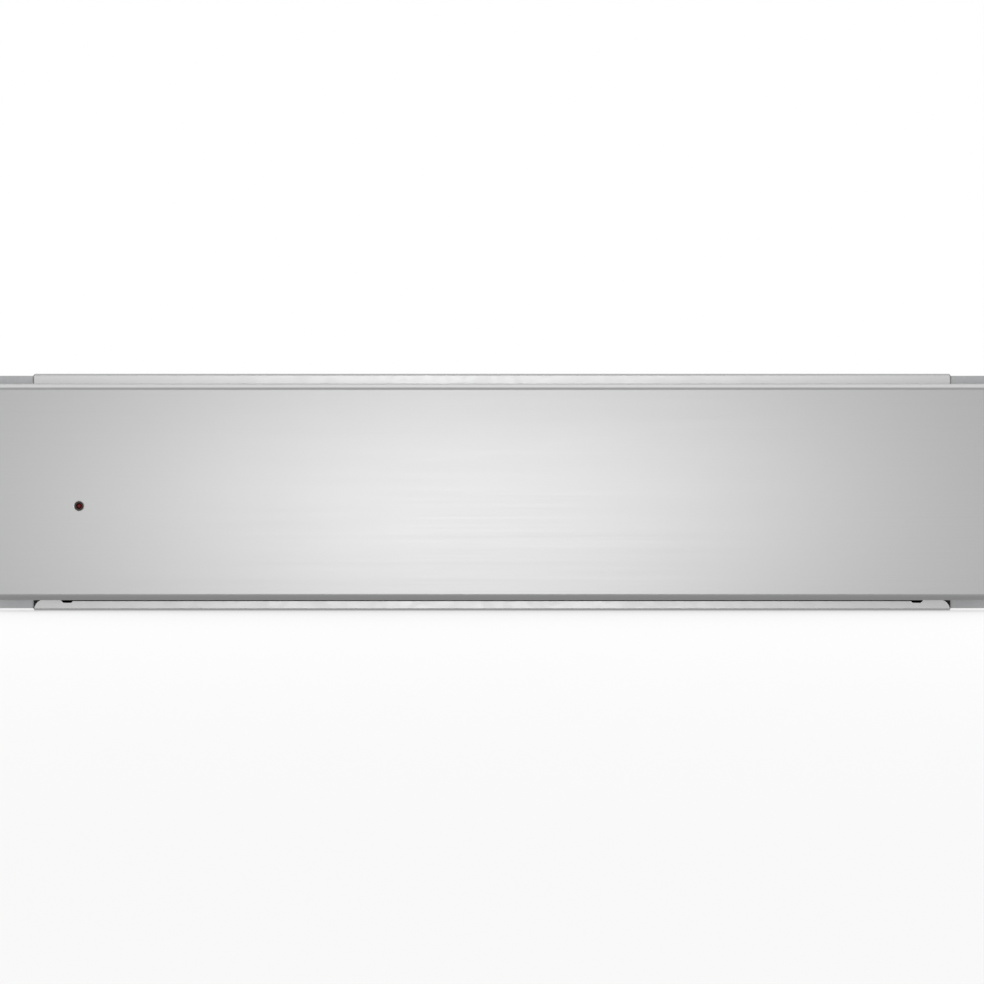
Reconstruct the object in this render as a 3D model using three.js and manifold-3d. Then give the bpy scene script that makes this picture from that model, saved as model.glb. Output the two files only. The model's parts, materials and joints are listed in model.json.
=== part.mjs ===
// Built-in warming drawer, 60 cm wide and 14 cm high, with a handleless push-to-open front.
// The housing is folded sheet steel. The drawer runs on three-part ball-bearing runners and carries
// its own fan heater, heated glass floor, thermostat and switch.
// Millimetres, +Z up. The front faces -Y. The origin is the middle of the footprint, on the shelf.
import * as THREE from "three";
import { mergeVertices } from "three/addons/utils/BufferGeometryUtils.js";
import Module from "manifold-3d";

const wasm = await Module();
wasm.setup();

// ---------------------------------------------------------------- driving dimensions

const FIT = 0.3; // clearance between pieces that seat on each other

// Housing
const BODY_WIDTH = 543; // over the cover's skirts, for a niche 560 wide
const BODY_HEIGHT = 140;
const BODY_DEPTH = 515; // front lip to rear skirt
const SHEET = 1;
const BEND = 1.1; // bend radius at the middle of the sheet
const SKIRT = 8; // turned edge of cover and base plate
const SIDE_SEAM = 12; // turned seam flange of the side and rear walls
const COVER_LIP = 15; // turned front edge of the cover
const COVER_CORNER = 1.6;
const LIP_HEIGHT = 5.5; // turned front edge of the base plate
const LIP_BEND = 0.8; // folded sharper than the skirts
const LIP_EAR_HEIGHT = 6.6; // its higher ends
const LIP_EAR_WIDTH = 15.2;
const LIP_CORNER = 6.4;
const LIP_NOTCH_WIDTH = 7.8; // relief between lip and ear, its sides at 45 degrees
const LIP_NOTCH_DROP = 1;
const LIP_INSET = 0.9; // the lips end this far inside the skirts
const BEAD_WIDTH = 16; // pressed stiffening bead
const BEAD_DEPTH = 1.2;
const BEAD_MARGIN = 48; // bead to the cover's side
const BEAD_COUNT = 4;
const VENT_SLOT_WIDTH = 5;
const VENT_SLOT_LENGTH = 44;
const VENT_SLOT_PITCH = 14;
const VENT_SLOTS = 5; // in each of the two groups
const VENT_GROUP_X = 128;
const VENT_RAISE = 22; // middle of the slots above mid height
const FLANGE_WIDTH = 25; // front flange that the housing is screwed to the cabinet by
const FLANGE_BEND = 2.2; // its flat rear face starts outside the skirts
const FLANGE_RELIEF = 0.1; // open corner at each end of the fold, this far inside the skirts' outside
const FLANGE_RELIEF_HEIGHT = 9;
const FLANGE_SLOT_WIDTH = 5;
const FLANGE_SLOT_LENGTH = 11;
const FLANGE_SLOT_RISE = 38; // above and below mid height
const BUMPER_DIAMETER = 10;
const BUMPER_THICKNESS = 1.2;
const BUMPER_RISE = 22; // above and below mid height

// Drawer front
const FRONT_OVERHANG = 26; // beyond each side of the housing
const FRONT_SHORT = 6.6; // the front ends this far inside the housing's height at top and bottom
const FRONT_THICKNESS = 20;
const FRONT_SHEET = 1;
const BEVEL_HEIGHT = 2.6; // bevelled edge along top and bottom, as seen from the front
const BEVEL_DEPTH = 3.6;
const FRONT_FOLD = 0.8; // its folds start this far from their corners
const FRONT_END_EDGE = 1; // radius of the upright edges at its ends
const FRONT_HEM = 6.5; // turned rear edge
const PUSH_GAP = 4.5; // the front stands off the housing, so that it can be pushed in
const BACKING_FLANGE = 9;

// Indicator lamp
const LAMP_FROM_END = 55.8;
const LAMP_BELOW_MIDDLE = 8.2;
const LAMP_HOLE = 5.4;
const LAMP_RIM = 0.75; // wall of the dark bezel
const LAMP_FLANGE_DIAMETER = 9;
const LAMP_FLANGE = 1.2;
const LAMP_BARREL = 0.6; // the bezel's barrel stands out from its neck by this
const LAMP_DOME = 0.8;
const LAMP_TAIL = 2; // light rod beyond the bezel
const LAMP_HOLDER_WIDTH = 18;
const LAMP_HOLDER_HEIGHT = 12;
const LAMP_HOLDER_DEPTH = 3;

// Runners
const RUNNER_HEIGHT = 45;
const RUNNER_SHEET = 1.2;
const RUNNER_BEND = 0.75;
const RUNNER_SETBACK = 8; // behind the housing's front
const RUNNER_REAR_SPACE = 67; // runner's end to the rear skirt
const RUNNER_RAISE = 40; // middle of the runner above the drawer's underside
const MIDDLE_RAIL_SHORTER = 5; // at each end
const MIDDLE_RAIL_CLEARANCE = 0.75; // its lips to the drawer's wall
const BALL_DIAMETER = 4.4;
const BALL_PLAY = 0.15;
const BALLS_PER_ROW = 4;
const BALL_PITCH = 36;
const CAGE_SHEET = 0.6;
const CAGE_PLAY = 0.325;
const CAGE_END = 9; // strip beyond the last ball
const RUNNER_HOLE = 5;
const RUNNER_HOLE_PITCH = 160;

// Drawer box
const DRAWER_SHEET = 0.8;
const DRAWER_BEND = 1.2;
const DRAWER_BOTTOM = 14;
const DRAWER_BELOW_LIP = 7; // rim to the cover's front edge
const DRAWER_REAR_SPACE = 69; // drawer's rear wall to the rear skirt
const RIM_WIDTH = 8;
const SEAM = 10; // turned seam flange of the drawer's sheets

// Heated floor
const BOARD_THICKNESS = 5;
const BOARD_MARGIN = 1;
const PAD_THICKNESS = 1.5;
const PAD_MARGIN = 12;
const GLASS_THICKNESS = 4;
const GLASS_MARGIN = 0.5;
const MAT_THICKNESS = 2;
const MAT_MARGIN = 6;
const PLATE_CORNER = 8;

// Fan heater
const FAN_BLADES = 9;
const FAN_DEPTH = 14;
const FAN_DISC = 1.2;
const FAN_HUB = 14;
const FAN_BACK_GAP = 4; // back disc to motor plate
const BLADE_THICKNESS = 1.1;
const BLADE_LENGTH = 15;
const BLADE_SWEEP = 0.5; // radians that a blade's tip leads its root by
const BLADE_TIP_INSET = 1;
const SHAFT_DIAMETER = 3.2;
const GRILLE_GAP = 4; // baffle to blades
const GRILLE_RINGS = 3;
const GRILLE_RING_PITCH = 8.5;
const GRILLE_SLOT = 3.6;
const GRILLE_ARCS = 6;
const LOUVRE_LENGTH = 58;
const LOUVRE_HEIGHT = 4;
const LOUVRE_ROWS = 4;
const LOUVRE_COLUMNS = 2; // on each side of the grille
const LOUVRE_PITCH_Z = 15;
const LOUVRE_PITCH_X = 72;
const LOUVRE_FIRST_X = 98;
const HEATER_DIAMETER = 6.4;
const HEATER_MARGIN = 6; // heater to the top and bottom of the fan space
const HEATER_TO_FAN = 3.6;
const HEATER_OPENING = 0.56; // open angle at the bottom of the ring, in radians
const HEATER_TAIL = 8; // its ends behind the motor plate
const MOTOR_PLATE_MARGIN = 18; // motor plate beyond the heater
const MOTOR_PLATE_FOOT = 16;
const MOTOR_STACK = 12;
const MOTOR_STUD = 3; // radius
const ROTOR_DIAMETER = 19;
const ROTOR_GAP = 0.4;
const STACK_WALL = 7; // iron round the rotor
const STACK_LEG = 10; // iron through the coil
const STACK_YOKE = 6; // iron above and below the window
const COIL_WALL = 8;
const COIL_PROUD = 5;
const COIL_CLEARANCE = 1; // coil to motor plate and to the iron across the window
const BRIDGE_GAP = 3;
const BRIDGE_WIDTH = 10;
const BEARING_DIAMETER = 8;
const BEARING_LENGTH = 4;
const MOTOR_CLEARANCE = 4.5; // bearing to the drawer's rear wall

// Controls
const CONSOLE_WIDTH = 150;
const CONSOLE_DEPTH = 54;
const CONSOLE_BELOW_RIM = 16;
const CONSOLE_BEND = 5;
const KNOB_FROM_END = 44;
const KNOB_DIAMETER = 30;
const KNOB_HEIGHT = 15;
const KNOB_BEVEL = 1.2;
const KNOB_SKIRT_DIAMETER = 36;
const KNOB_SKIRT_HEIGHT = 2.4;
const KNOB_FLUTES = 12;
const KNOB_FLUTE_DEPTH = 1.4;
const KNOB_SOCKET_DEPTH = 10;
const THERMOSTAT_SIZE = 34;
const THERMOSTAT_HEIGHT = 16;
const THERMOSTAT_CORNER = 4;
const SPINDLE_DIAMETER = 6;
const SPINDLE_REACH = 8; // into the thermostat
const BUSH_DIAMETER = 9.4;
const BUSH_PROUD = 1.6;
const SWITCH_FROM_END = 36;
const SWITCH_WIDTH = 22;
const SWITCH_LENGTH = 30;
const SWITCH_DEPTH = 20;
const SWITCH_RIM = 1.5;
const SWITCH_RIM_WIDTH = 2; // beyond the switch's body
const SWITCH_WALL = 2;
const ROCKER_TILT = 8; // degrees either side of level
const ROCKER_PLAY = 0.5;
const ROCKER_RISE = 0.42; // radians that its round ends reach above the pivot
const ROCKER_DIP = 0.5; // and below it
const ROCKER_PIVOT_DEPTH = 1.2;

// Push latch
const CAM_THICKNESS = 5.4;
const CAM_WIDTH = 44;
const CAM_AHEAD = 12; // cam in front of the pin's place
const CAM_BEHIND = 38;
const CAM_CORNER = 4;
const CAM_TRACK_DEPTH = 2.4;
const CAM_TRACK_WIDTH = 4.4;
const HEART_WIDTH = 13.6;
const HEART_LENGTH = 22;
const LATCH_PIN = 1.6; // radius
const LATCH_ARM = 62; // pivot to pin
const LATCH_ARM_THICKNESS = 2;
const LATCH_EYE = 6; // radius
const LATCH_PIVOT = 3; // radius
const LATCH_LIFT = 3.2; // arm above the foot of its post
const LATCH_FOOT = 9; // radius
const LATCH_HEAD = 1.6;

// Mains inlet
const GLAND_FROM_SIDE = 66;
const GLAND_Z = 26;
const GLAND_HOLE = 16;
const GLAND_BORE = 9;
const GLAND_FLANGE_DIAMETER = 24;
const GLAND_FLANGE = 2;
const GLAND_NUT = 4;
const GLAND_PROUD = 5.5;
const TERMINAL_WIDTH = 56;
const TERMINAL_DEPTH = 34;
const TERMINAL_HEIGHT = 38;
const TERMINAL_LID = 11;
const TERMINAL_GROOVE = 0.8;
const TERMINAL_CORNER = 2;
const TERMINAL_MOUTH = 12;

// ---------------------------------------------------------------- places worked out from them

const TOTAL_DEPTH = FRONT_THICKNESS + PUSH_GAP + BODY_DEPTH + GLAND_PROUD;
const FRONT_Y = -TOTAL_DEPTH / 2;
const FRONT_BACK_Y = FRONT_Y + FRONT_THICKNESS;
const FRAME_Y = FRONT_BACK_Y + PUSH_GAP;
const REAR_Y = FRAME_Y + BODY_DEPTH;
const FLANGE_Y = FRAME_Y + SHEET + FIT;
const SKIRT_FRONT_Y = FLANGE_Y + SHEET / 2 + FLANGE_BEND + FIT;
const REAR_WALL_Y = REAR_Y - SHEET - FIT; // outer face
const REAR_WALL_INNER_Y = REAR_WALL_Y - SHEET;
const MIDDLE_Z = BODY_HEIGHT / 2;
const HALF_BODY = BODY_WIDTH / 2;
const LIP_HALF = HALF_BODY - LIP_INSET;
const WALL_OUT = HALF_BODY - SHEET - FIT;
const WALL_IN = WALL_OUT - SHEET;
const WALL_BOTTOM = SHEET + FIT;
const WALL_TOP = BODY_HEIGHT - SHEET - FIT;
const FLANGE_OUT = HALF_BODY + FLANGE_WIDTH;
const FLANGE_MIDDLE = (HALF_BODY + FLANGE_OUT) / 2;

const FRONT_END = HALF_BODY + FRONT_OVERHANG;
const FRONT_BOTTOM = FRONT_SHORT;
const FRONT_TOP = BODY_HEIGHT - FRONT_SHORT;
const BACKING_Y = FRONT_BACK_Y - FRONT_SHEET - FIT; // rear face, behind the front's turned edges
const LAMP_X = LAMP_FROM_END - FRONT_END;
const LAMP_Z = MIDDLE_Z - LAMP_BELOW_MIDDLE;
const LAMP_HOLDER_Y = BACKING_Y - DRAWER_SHEET - FIT; // rear face
const LAMP_NECK = LAMP_HOLE / 2 - FIT;
const LAMP_BORE = LAMP_NECK - LAMP_RIM;
const LAMP_ROD_END = LAMP_HOLDER_Y - LAMP_HOLDER_DEPTH - FIT - FRONT_Y;

// The balls sit in eight-sided races whose faces clear them by BALL_PLAY. u runs from the back of the
// fixed rail towards the drawer, and v up from the middle of the runner.
const BALL_RADIUS = BALL_DIAMETER / 2;
const RACE = BALL_RADIUS + BALL_PLAY + RUNNER_SHEET / 2; // ball centre to the middle of a race's sheet
const RACE_FLAT = RACE * Math.tan(Math.PI / 8); // half of one of its eight flats
const LIP_SHORT = CAGE_SHEET / 2 + FIT; // a rail's lips end this far from the balls' middle
const OUTER_BALL_U = RUNNER_SHEET / 2 + RACE;
const OUTER_BALL_V = RUNNER_HEIGHT / 2 - RUNNER_SHEET / 2 - RACE;
const OUTER_CAGE_U = RUNNER_SHEET + CAGE_PLAY + CAGE_SHEET / 2;
const MIDDLE_RAIL_U = OUTER_CAGE_U + CAGE_SHEET / 2 + CAGE_PLAY + RUNNER_SHEET / 2;
const MIDDLE_RAIL_V = OUTER_BALL_V - RACE;
const INNER_CAGE_U = MIDDLE_RAIL_U + RUNNER_SHEET / 2 + CAGE_PLAY + CAGE_SHEET / 2;
const INNER_LIP_U = INNER_CAGE_U + CAGE_SHEET / 2 + CAGE_PLAY + RUNNER_SHEET / 2;
const INNER_BALL_U = INNER_LIP_U + RACE;
const INNER_BALL_V = MIDDLE_RAIL_V - RACE;
const RUNNER_DEPTH = INNER_BALL_U + RACE + RUNNER_SHEET / 2 + MIDDLE_RAIL_CLEARANCE;
const DRAWER_RAIL_U = RUNNER_DEPTH - RUNNER_SHEET / 2;

const DRAWER_TOP = BODY_HEIGHT - COVER_LIP - DRAWER_BELOW_LIP;
const RUNNER_X = WALL_IN - FIT; // back of the fixed rail
const RUNNER_LENGTH = BODY_DEPTH - RUNNER_SETBACK - RUNNER_REAR_SPACE;
const RUNNER_MIDDLE_Y = FRAME_Y + RUNNER_SETBACK + RUNNER_LENGTH / 2;
const RUNNER_Z = DRAWER_BOTTOM + RUNNER_RAISE;
const BOX_OUT = RUNNER_X - RUNNER_DEPTH - FIT; // outer face of the drawer's side wall
const BOX_IN = BOX_OUT - DRAWER_SHEET;
const SEAM_IN = BOX_IN - FIT - DRAWER_SHEET; // inner face of the end walls' turned seams
const BOX_FRONT_Y = BACKING_Y + FIT;
const BOX_INNER_FRONT_Y = BOX_FRONT_Y + DRAWER_SHEET + FIT;
const BOX_REAR_Y = REAR_Y - DRAWER_REAR_SPACE;
const FLOOR_Z = DRAWER_BOTTOM + DRAWER_SHEET + FIT;
const FLOOR_TOP = FLOOR_Z + DRAWER_SHEET;
const BOARD_Z = FLOOR_TOP + FIT;
const PAD_Z = BOARD_Z + BOARD_THICKNESS + FIT;
const GLASS_Z = PAD_Z + PAD_THICKNESS + FIT;
const MAT_Z = GLASS_Z + GLASS_THICKNESS + FIT;
const MAT_TOP = MAT_Z + MAT_THICKNESS;

// Fan space, from the drawer's rear wall forward
const PLENUM_BOTTOM = FLOOR_TOP + FIT;
const PLENUM_TOP = DRAWER_TOP - FIT - DRAWER_SHEET; // underside of the baffle's top
const BRIDGE_Y = BOX_REAR_Y - DRAWER_SHEET - MOTOR_CLEARANCE - BEARING_LENGTH;
const STACK_BACK_Y = BRIDGE_Y - BRIDGE_GAP;
const STACK_Y = STACK_BACK_Y - MOTOR_STACK;
const MOTOR_PLATE_BACK_Y = STACK_Y - COIL_PROUD - COIL_CLEARANCE;
const MOTOR_PLATE_Y = MOTOR_PLATE_BACK_Y - DRAWER_SHEET;
const FAN_BACK_Y = MOTOR_PLATE_Y - FAN_BACK_GAP;
const FAN_DISC_Y = FAN_BACK_Y - FAN_DISC;
const FAN_FRONT_Y = FAN_DISC_Y - FAN_DEPTH;
const BAFFLE_Y = FAN_FRONT_Y - GRILLE_GAP - DRAWER_SHEET;
const FAN_Z = (PLENUM_BOTTOM + PLENUM_TOP) / 2;
const HEATER_RADIUS = (PLENUM_TOP - PLENUM_BOTTOM) / 2 - HEATER_MARGIN - HEATER_DIAMETER / 2;
const FAN_RADIUS = HEATER_RADIUS - HEATER_DIAMETER / 2 - HEATER_TO_FAN;
const HEATER_TAIL_X = HEATER_RADIUS * Math.sin(HEATER_OPENING / 2);
const HEATER_TAIL_Z = -HEATER_RADIUS * Math.cos(HEATER_OPENING / 2);
const STACK_HALF = ROTOR_DIAMETER / 2 + ROTOR_GAP + STACK_WALL;
const WINDOW_START = STACK_HALF + COIL_CLEARANCE;
const WINDOW_END = WINDOW_START + COIL_CLEARANCE + COIL_WALL + FIT;
const WINDOW_HALF = STACK_HALF - STACK_YOKE;

const CONSOLE_TOP = DRAWER_TOP - CONSOLE_BELOW_RIM;
const CONSOLE_UNDERSIDE = CONSOLE_TOP - DRAWER_SHEET;
const CONSOLE_RIGHT = SEAM_IN - FIT;
const CONSOLE_LEFT = CONSOLE_RIGHT - CONSOLE_WIDTH;
const CONSOLE_BACK_Y = BOX_INNER_FRONT_Y + CONSOLE_DEPTH;
const CONTROLS_Y = (BOX_INNER_FRONT_Y + CONSOLE_BACK_Y) / 2;
const KNOB_X = CONSOLE_RIGHT - KNOB_FROM_END;
const KNOB_Z = CONSOLE_TOP + BUSH_PROUD + 2 * FIT;
const SWITCH_X = CONSOLE_LEFT + SWITCH_FROM_END;
const SWITCH_HALF_X = SWITCH_WIDTH / 2 - SWITCH_RIM_WIDTH;
const SWITCH_HALF_Y = SWITCH_LENGTH / 2 - SWITCH_RIM_WIDTH;
const ROCKER_RADIUS = SWITCH_HALF_Y - SWITCH_WALL / 2 - ROCKER_PLAY;

const CAM_Z = FLOOR_Z - FIT - CAM_THICKNESS;
const LATCH_PIN_Y = BOX_REAR_Y - SEAM - CAM_BEHIND;
const LATCH_PIVOT_Y = LATCH_PIN_Y + LATCH_ARM;
const LATCH_ARM_Z = SHEET + FIT + LATCH_LIFT;
const HEART_NOTCH = LATCH_PIN + FIT;
const HEART_LOBE = (HEART_WIDTH / 2 - HEART_NOTCH) / 2;
const HEART_SHOULDER = HEART_LENGTH / 4;

const GLAND_X = HALF_BODY - GLAND_FROM_SIDE;
const GLAND_NUT_Y = REAR_WALL_INNER_Y - FIT - GLAND_NUT;

// ---------------------------------------------------------------- finishes

function finish(color, roughness, metalness) {
  return new THREE.MeshStandardMaterial({ color, roughness, metalness });
}

const STAINLESS = finish("#c9cacb", 0.32, 1);
const GALVANISED = finish("#aeb2b4", 0.42, 1);
const RUNNER_STEEL = finish("#b9bcc0", 0.28, 1);
const BALL_STEEL = finish("#d6d8da", 0.12, 1);
const BLACK_PLASTIC = finish("#191a1c", 0.45, 0);
const GREY_PLASTIC = finish("#6d7073", 0.5, 0);
const RED_LENS = finish("#7a0d10", 0.15, 0);
const GREEN_ROCKER = finish("#1d5b3a", 0.3, 0);
const RUBBER = finish("#2b2c2e", 0.8, 0);
const SILICONE = finish("#4a4c4f", 0.85, 0);
const DARK_GLASS = finish("#14171a", 0.06, 0);
const FIBRE_BOARD = finish("#d9d4c6", 0.95, 0);
const HEATER_FOIL = finish("#b98a4a", 0.4, 0.6);
const HEATER_TUBE = finish("#55565a", 0.5, 0.9);
const MOTOR_IRON = finish("#4b4e52", 0.55, 0.8);
const COIL_TAPE = finish("#b9772f", 0.6, 0);
const CAM_PLASTIC = finish("#e4e2da", 0.55, 0);

// ---------------------------------------------------------------- solids

const X_AXIS = new THREE.Vector3(1, 0, 0);
const Y_AXIS = new THREE.Vector3(0, 1, 0);
const Z_AXIS = new THREE.Vector3(0, 0, 1);
const MERGE_DISTANCE = 1e-4;
const CUT = 1; // a cutting tool runs this far past what it cuts

// A closed surface as a solid that can be joined and cut.
function solid(geometry) {
  const bare = geometry.clone();
  bare.deleteAttribute("normal");
  bare.deleteAttribute("uv");
  const merged = mergeVertices(bare, MERGE_DISTANCE);
  const mesh = new wasm.Mesh({
    numProp: 3,
    vertProperties: merged.getAttribute("position").array,
    triVerts: new Uint32Array(merged.index.array),
  });
  return new wasm.Manifold(mesh);
}

function surface(body) {
  const mesh = body.getMesh();
  const geometry = new THREE.BufferGeometry();
  geometry.setAttribute("position", new THREE.BufferAttribute(mesh.vertProperties, 3));
  geometry.setIndex(new THREE.BufferAttribute(mesh.triVerts, 1));
  geometry.computeVertexNormals();
  return geometry;
}

// A named piece of the drawer, placed in its group.
function piece(name, material, body, x = 0, y = 0, z = 0) {
  const mesh = new THREE.Mesh(surface(body), material);
  mesh.name = name;
  mesh.position.set(x, y, z);
  return mesh;
}

function group(...members) {
  const made = new THREE.Group();
  made.add(...members);
  return made;
}

// Extrudes a section along an axis. It is drawn in (y, z) for x, in (x, z) for y and in (x, y) for z.
// Each arc of the section gets twice curveSegments edges.
function extrude(axis, section, from, to, curveSegments = 4) {
  const options = { depth: to - from, bevelEnabled: false, curveSegments };
  const geometry = new THREE.ExtrudeGeometry(section, options);
  const place = new THREE.Matrix4();
  if (axis === "x") place.makeBasis(Y_AXIS, Z_AXIS, X_AXIS).setPosition(from, 0, 0);
  if (axis === "y") place.makeBasis(X_AXIS, Z_AXIS, Y_AXIS.clone().negate()).setPosition(0, to, 0);
  if (axis === "z") place.setPosition(0, 0, from);
  return solid(geometry.applyMatrix4(place));
}

function block(x0, x1, y0, y1, z0, z1) {
  const geometry = new THREE.BoxGeometry(x1 - x0, y1 - y0, z1 - z0);
  return solid(geometry.translate((x0 + x1) / 2, (y0 + y1) / 2, (z0 + z1) / 2));
}

// A round bar along an axis, centred at (u, v) in the plane that extrude() draws in.
function bar(axis, u, v, radius, from, to, sides = 16) {
  return extrude(axis, disc(u, v, radius), from, to, sides / 2);
}

// A solid of revolution about the y or z axis, from [radius, height] points. A profile that stays
// off the axis closes on itself.
function revolve(axis, profile, sides = 16) {
  const outline = profile[0][0] > 0 ? [...profile, profile[0]] : profile;
  const geometry = new THREE.LatheGeometry(outline.map(([r, h]) => new THREE.Vector2(r, h)), sides);
  if (axis === "z") geometry.rotateX(Math.PI / 2);
  return solid(geometry);
}

function join(...bodies) {
  return bodies.reduce((whole, next) => whole.add(next));
}

function cut(body, ...tools) {
  return tools.reduce((left, tool) => left.subtract(tool), body);
}

// ---------------------------------------------------------------- sections and outlines

function polygon(points) {
  return new THREE.Shape(points.map(([u, v]) => new THREE.Vector2(u, v)));
}

function disc(u, v, radius) {
  return new THREE.Shape().absarc(u, v, radius, 0, 2 * Math.PI);
}

function roundedRectangle(u0, u1, v0, v1, radius) {
  const shape = new THREE.Shape();
  shape.absarc(u1 - radius, v0 + radius, radius, -Math.PI / 2, 0);
  shape.absarc(u1 - radius, v1 - radius, radius, 0, Math.PI / 2);
  shape.absarc(u0 + radius, v1 - radius, radius, Math.PI / 2, Math.PI);
  shape.absarc(u0 + radius, v0 + radius, radius, Math.PI, 1.5 * Math.PI);
  return shape;
}

// A slot with round ends, its length along u, or along v if it is upright.
function slot(u, v, length, width, upright = false) {
  const radius = width / 2;
  const reach = length / 2 - radius;
  const shape = new THREE.Shape();
  if (upright) {
    shape.absarc(u, v + reach, radius, 0, Math.PI);
    shape.absarc(u, v - reach, radius, Math.PI, 2 * Math.PI);
  } else {
    shape.absarc(u + reach, v, radius, -Math.PI / 2, Math.PI / 2);
    shape.absarc(u - reach, v, radius, Math.PI / 2, 1.5 * Math.PI);
  }
  return shape;
}

// Section of a bent sheet: its middle line runs through the points, and each corner is an arc.
function bentSheet(points, thickness, radius, steps = 3) {
  const line = points.map(([u, v]) => new THREE.Vector2(u, v));
  const left = [];
  const right = [];
  const add = (point, normal) => {
    left.push(point.clone().addScaledVector(normal, thickness / 2));
    right.unshift(point.clone().addScaledVector(normal, -thickness / 2));
  };
  const direction = (a, b) => b.clone().sub(a).normalize();
  const leftOf = (way) => new THREE.Vector2(-way.y, way.x);
  const last = line.length - 1;
  add(line[0], leftOf(direction(line[0], line[1])));
  for (let i = 1; i < last; i += 1) {
    const before = direction(line[i - 1], line[i]);
    const after = direction(line[i], line[i + 1]);
    const bend = Math.atan2(before.cross(after), before.dot(after));
    const hand = Math.sign(bend);
    const start = line[i].clone().addScaledVector(before, -radius * Math.tan(Math.abs(bend) / 2));
    const toCentre = leftOf(before).multiplyScalar(hand);
    const centre = start.clone().addScaledVector(toCentre, radius);
    for (let step = 0; step <= steps; step += 1) {
      const arm = toCentre.clone().negate();
      arm.rotateAround(new THREE.Vector2(), (bend * step) / steps);
      add(centre.clone().addScaledVector(arm, radius), arm.clone().multiplyScalar(-hand));
    }
  }
  add(line[last], leftOf(direction(line[last - 1], line[last])));
  return new THREE.Shape([...left, ...right]);
}

// A closed outline whose corners are rounded, each from reach before it to reach behind it.
function softOutline(points, reach) {
  const corners = points.map(([u, v]) => new THREE.Vector2(u, v));
  const count = corners.length;
  const shape = new THREE.Shape();
  corners.forEach((corner, i) => {
    const towards = (other) => other.clone().sub(corner).setLength(reach).add(corner);
    const start = towards(corners[(i + count - 1) % count]);
    const end = towards(corners[(i + 1) % count]);
    if (i === 0) {
      shape.moveTo(start.x, start.y);
    } else {
      shape.lineTo(start.x, start.y);
    }
    shape.quadraticCurveTo(corner.x, corner.y, end.x, end.y);
  });
  shape.closePath();
  return shape;
}

// The same line on both sides of v = 0, joined across it.
function mirroredInV(points) {
  const below = points.map(([u, v]) => [u, -v]).reverse();
  return [...below, ...points];
}

// ---------------------------------------------------------------- housing

// A tray with skirts along both sides and the rear: the base plate, or with up = -1 the cover.
function skirtedTray(outerZ, up) {
  const middle = outerZ + (up * SHEET) / 2;
  const edge = HALF_BODY - SHEET / 2;
  const end = outerZ + up * SKIRT;
  const across = [[-edge, end], [-edge, middle], [edge, middle], [edge, end]];
  const along = [[SKIRT_FRONT_Y, middle], [REAR_Y - SHEET / 2, middle], [REAR_Y - SHEET / 2, end]];
  const relief = 2 * BEND; // open corner between side and rear skirts
  return join(
    extrude("y", bentSheet(across, SHEET, BEND), SKIRT_FRONT_Y, REAR_Y - relief),
    extrude("x", bentSheet(along, SHEET, BEND), relief - HALF_BODY, HALF_BODY - relief),
  );
}

// The turned front edge of a tray, from its flat to edgeZ, trimmed to an outline seen from the front.
function frontLip(outerZ, up, edgeZ, outline) {
  const middle = outerZ + (up * SHEET) / 2;
  const lipY = FRAME_Y + SHEET / 2;
  const overlapY = SKIRT_FRONT_Y + SHEET;
  const path = [[overlapY, middle], [lipY, middle], [lipY, edgeZ]];
  const lip = extrude("x", bentSheet(path, SHEET, LIP_BEND), -LIP_HALF, LIP_HALF);
  return lip.intersect(extrude("y", outline, FRAME_Y - CUT, overlapY + CUT));
}

// Outline of the base plate's lip: low in the middle, with a relief notch and a rounded ear at each end.
function lipOutline() {
  const ear = LIP_HALF - LIP_EAR_WIDTH;
  const low = ear - LIP_NOTCH_WIDTH;
  const notch = LIP_HEIGHT - LIP_NOTCH_DROP;
  const slant = LIP_EAR_HEIGHT - notch;
  const cornerX = LIP_HALF - LIP_CORNER;
  const cornerZ = LIP_EAR_HEIGHT - LIP_CORNER;
  const outline = new THREE.Shape();
  outline.moveTo(-LIP_HALF, -CUT);
  outline.lineTo(LIP_HALF, -CUT);
  outline.absarc(cornerX, cornerZ, LIP_CORNER, 0, Math.PI / 2);
  outline.lineTo(ear, LIP_EAR_HEIGHT);
  outline.lineTo(ear - slant, notch);
  outline.lineTo(low + LIP_NOTCH_DROP, notch);
  outline.lineTo(low, LIP_HEIGHT);
  outline.lineTo(-low, LIP_HEIGHT);
  outline.lineTo(-low - LIP_NOTCH_DROP, notch);
  outline.lineTo(slant - ear, notch);
  outline.lineTo(-ear, LIP_EAR_HEIGHT);
  outline.absarc(-cornerX, cornerZ, LIP_CORNER, Math.PI / 2, Math.PI);
  outline.closePath();
  return outline;
}

function basePlate() {
  const lip = frontLip(0, 1, LIP_EAR_HEIGHT, lipOutline());
  return piece("base_plate", GALVANISED, join(skirtedTray(0, 1), lip));
}

// A long shallow bead pressed down into a sheet whose outer face is at topZ.
function pressBead(sheet, halfLength, y, topZ) {
  const outer = slot(0, y, 2 * halfLength, BEAD_WIDTH);
  const inner = slot(0, y, 2 * (halfLength - SHEET), BEAD_WIDTH - 2 * SHEET);
  const bump = extrude("z", outer, topZ - BEAD_DEPTH - SHEET, topZ, 3);
  const dent = extrude("z", inner, topZ - BEAD_DEPTH, topZ + CUT, 3);
  return cut(join(sheet, bump), dent);
}

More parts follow.
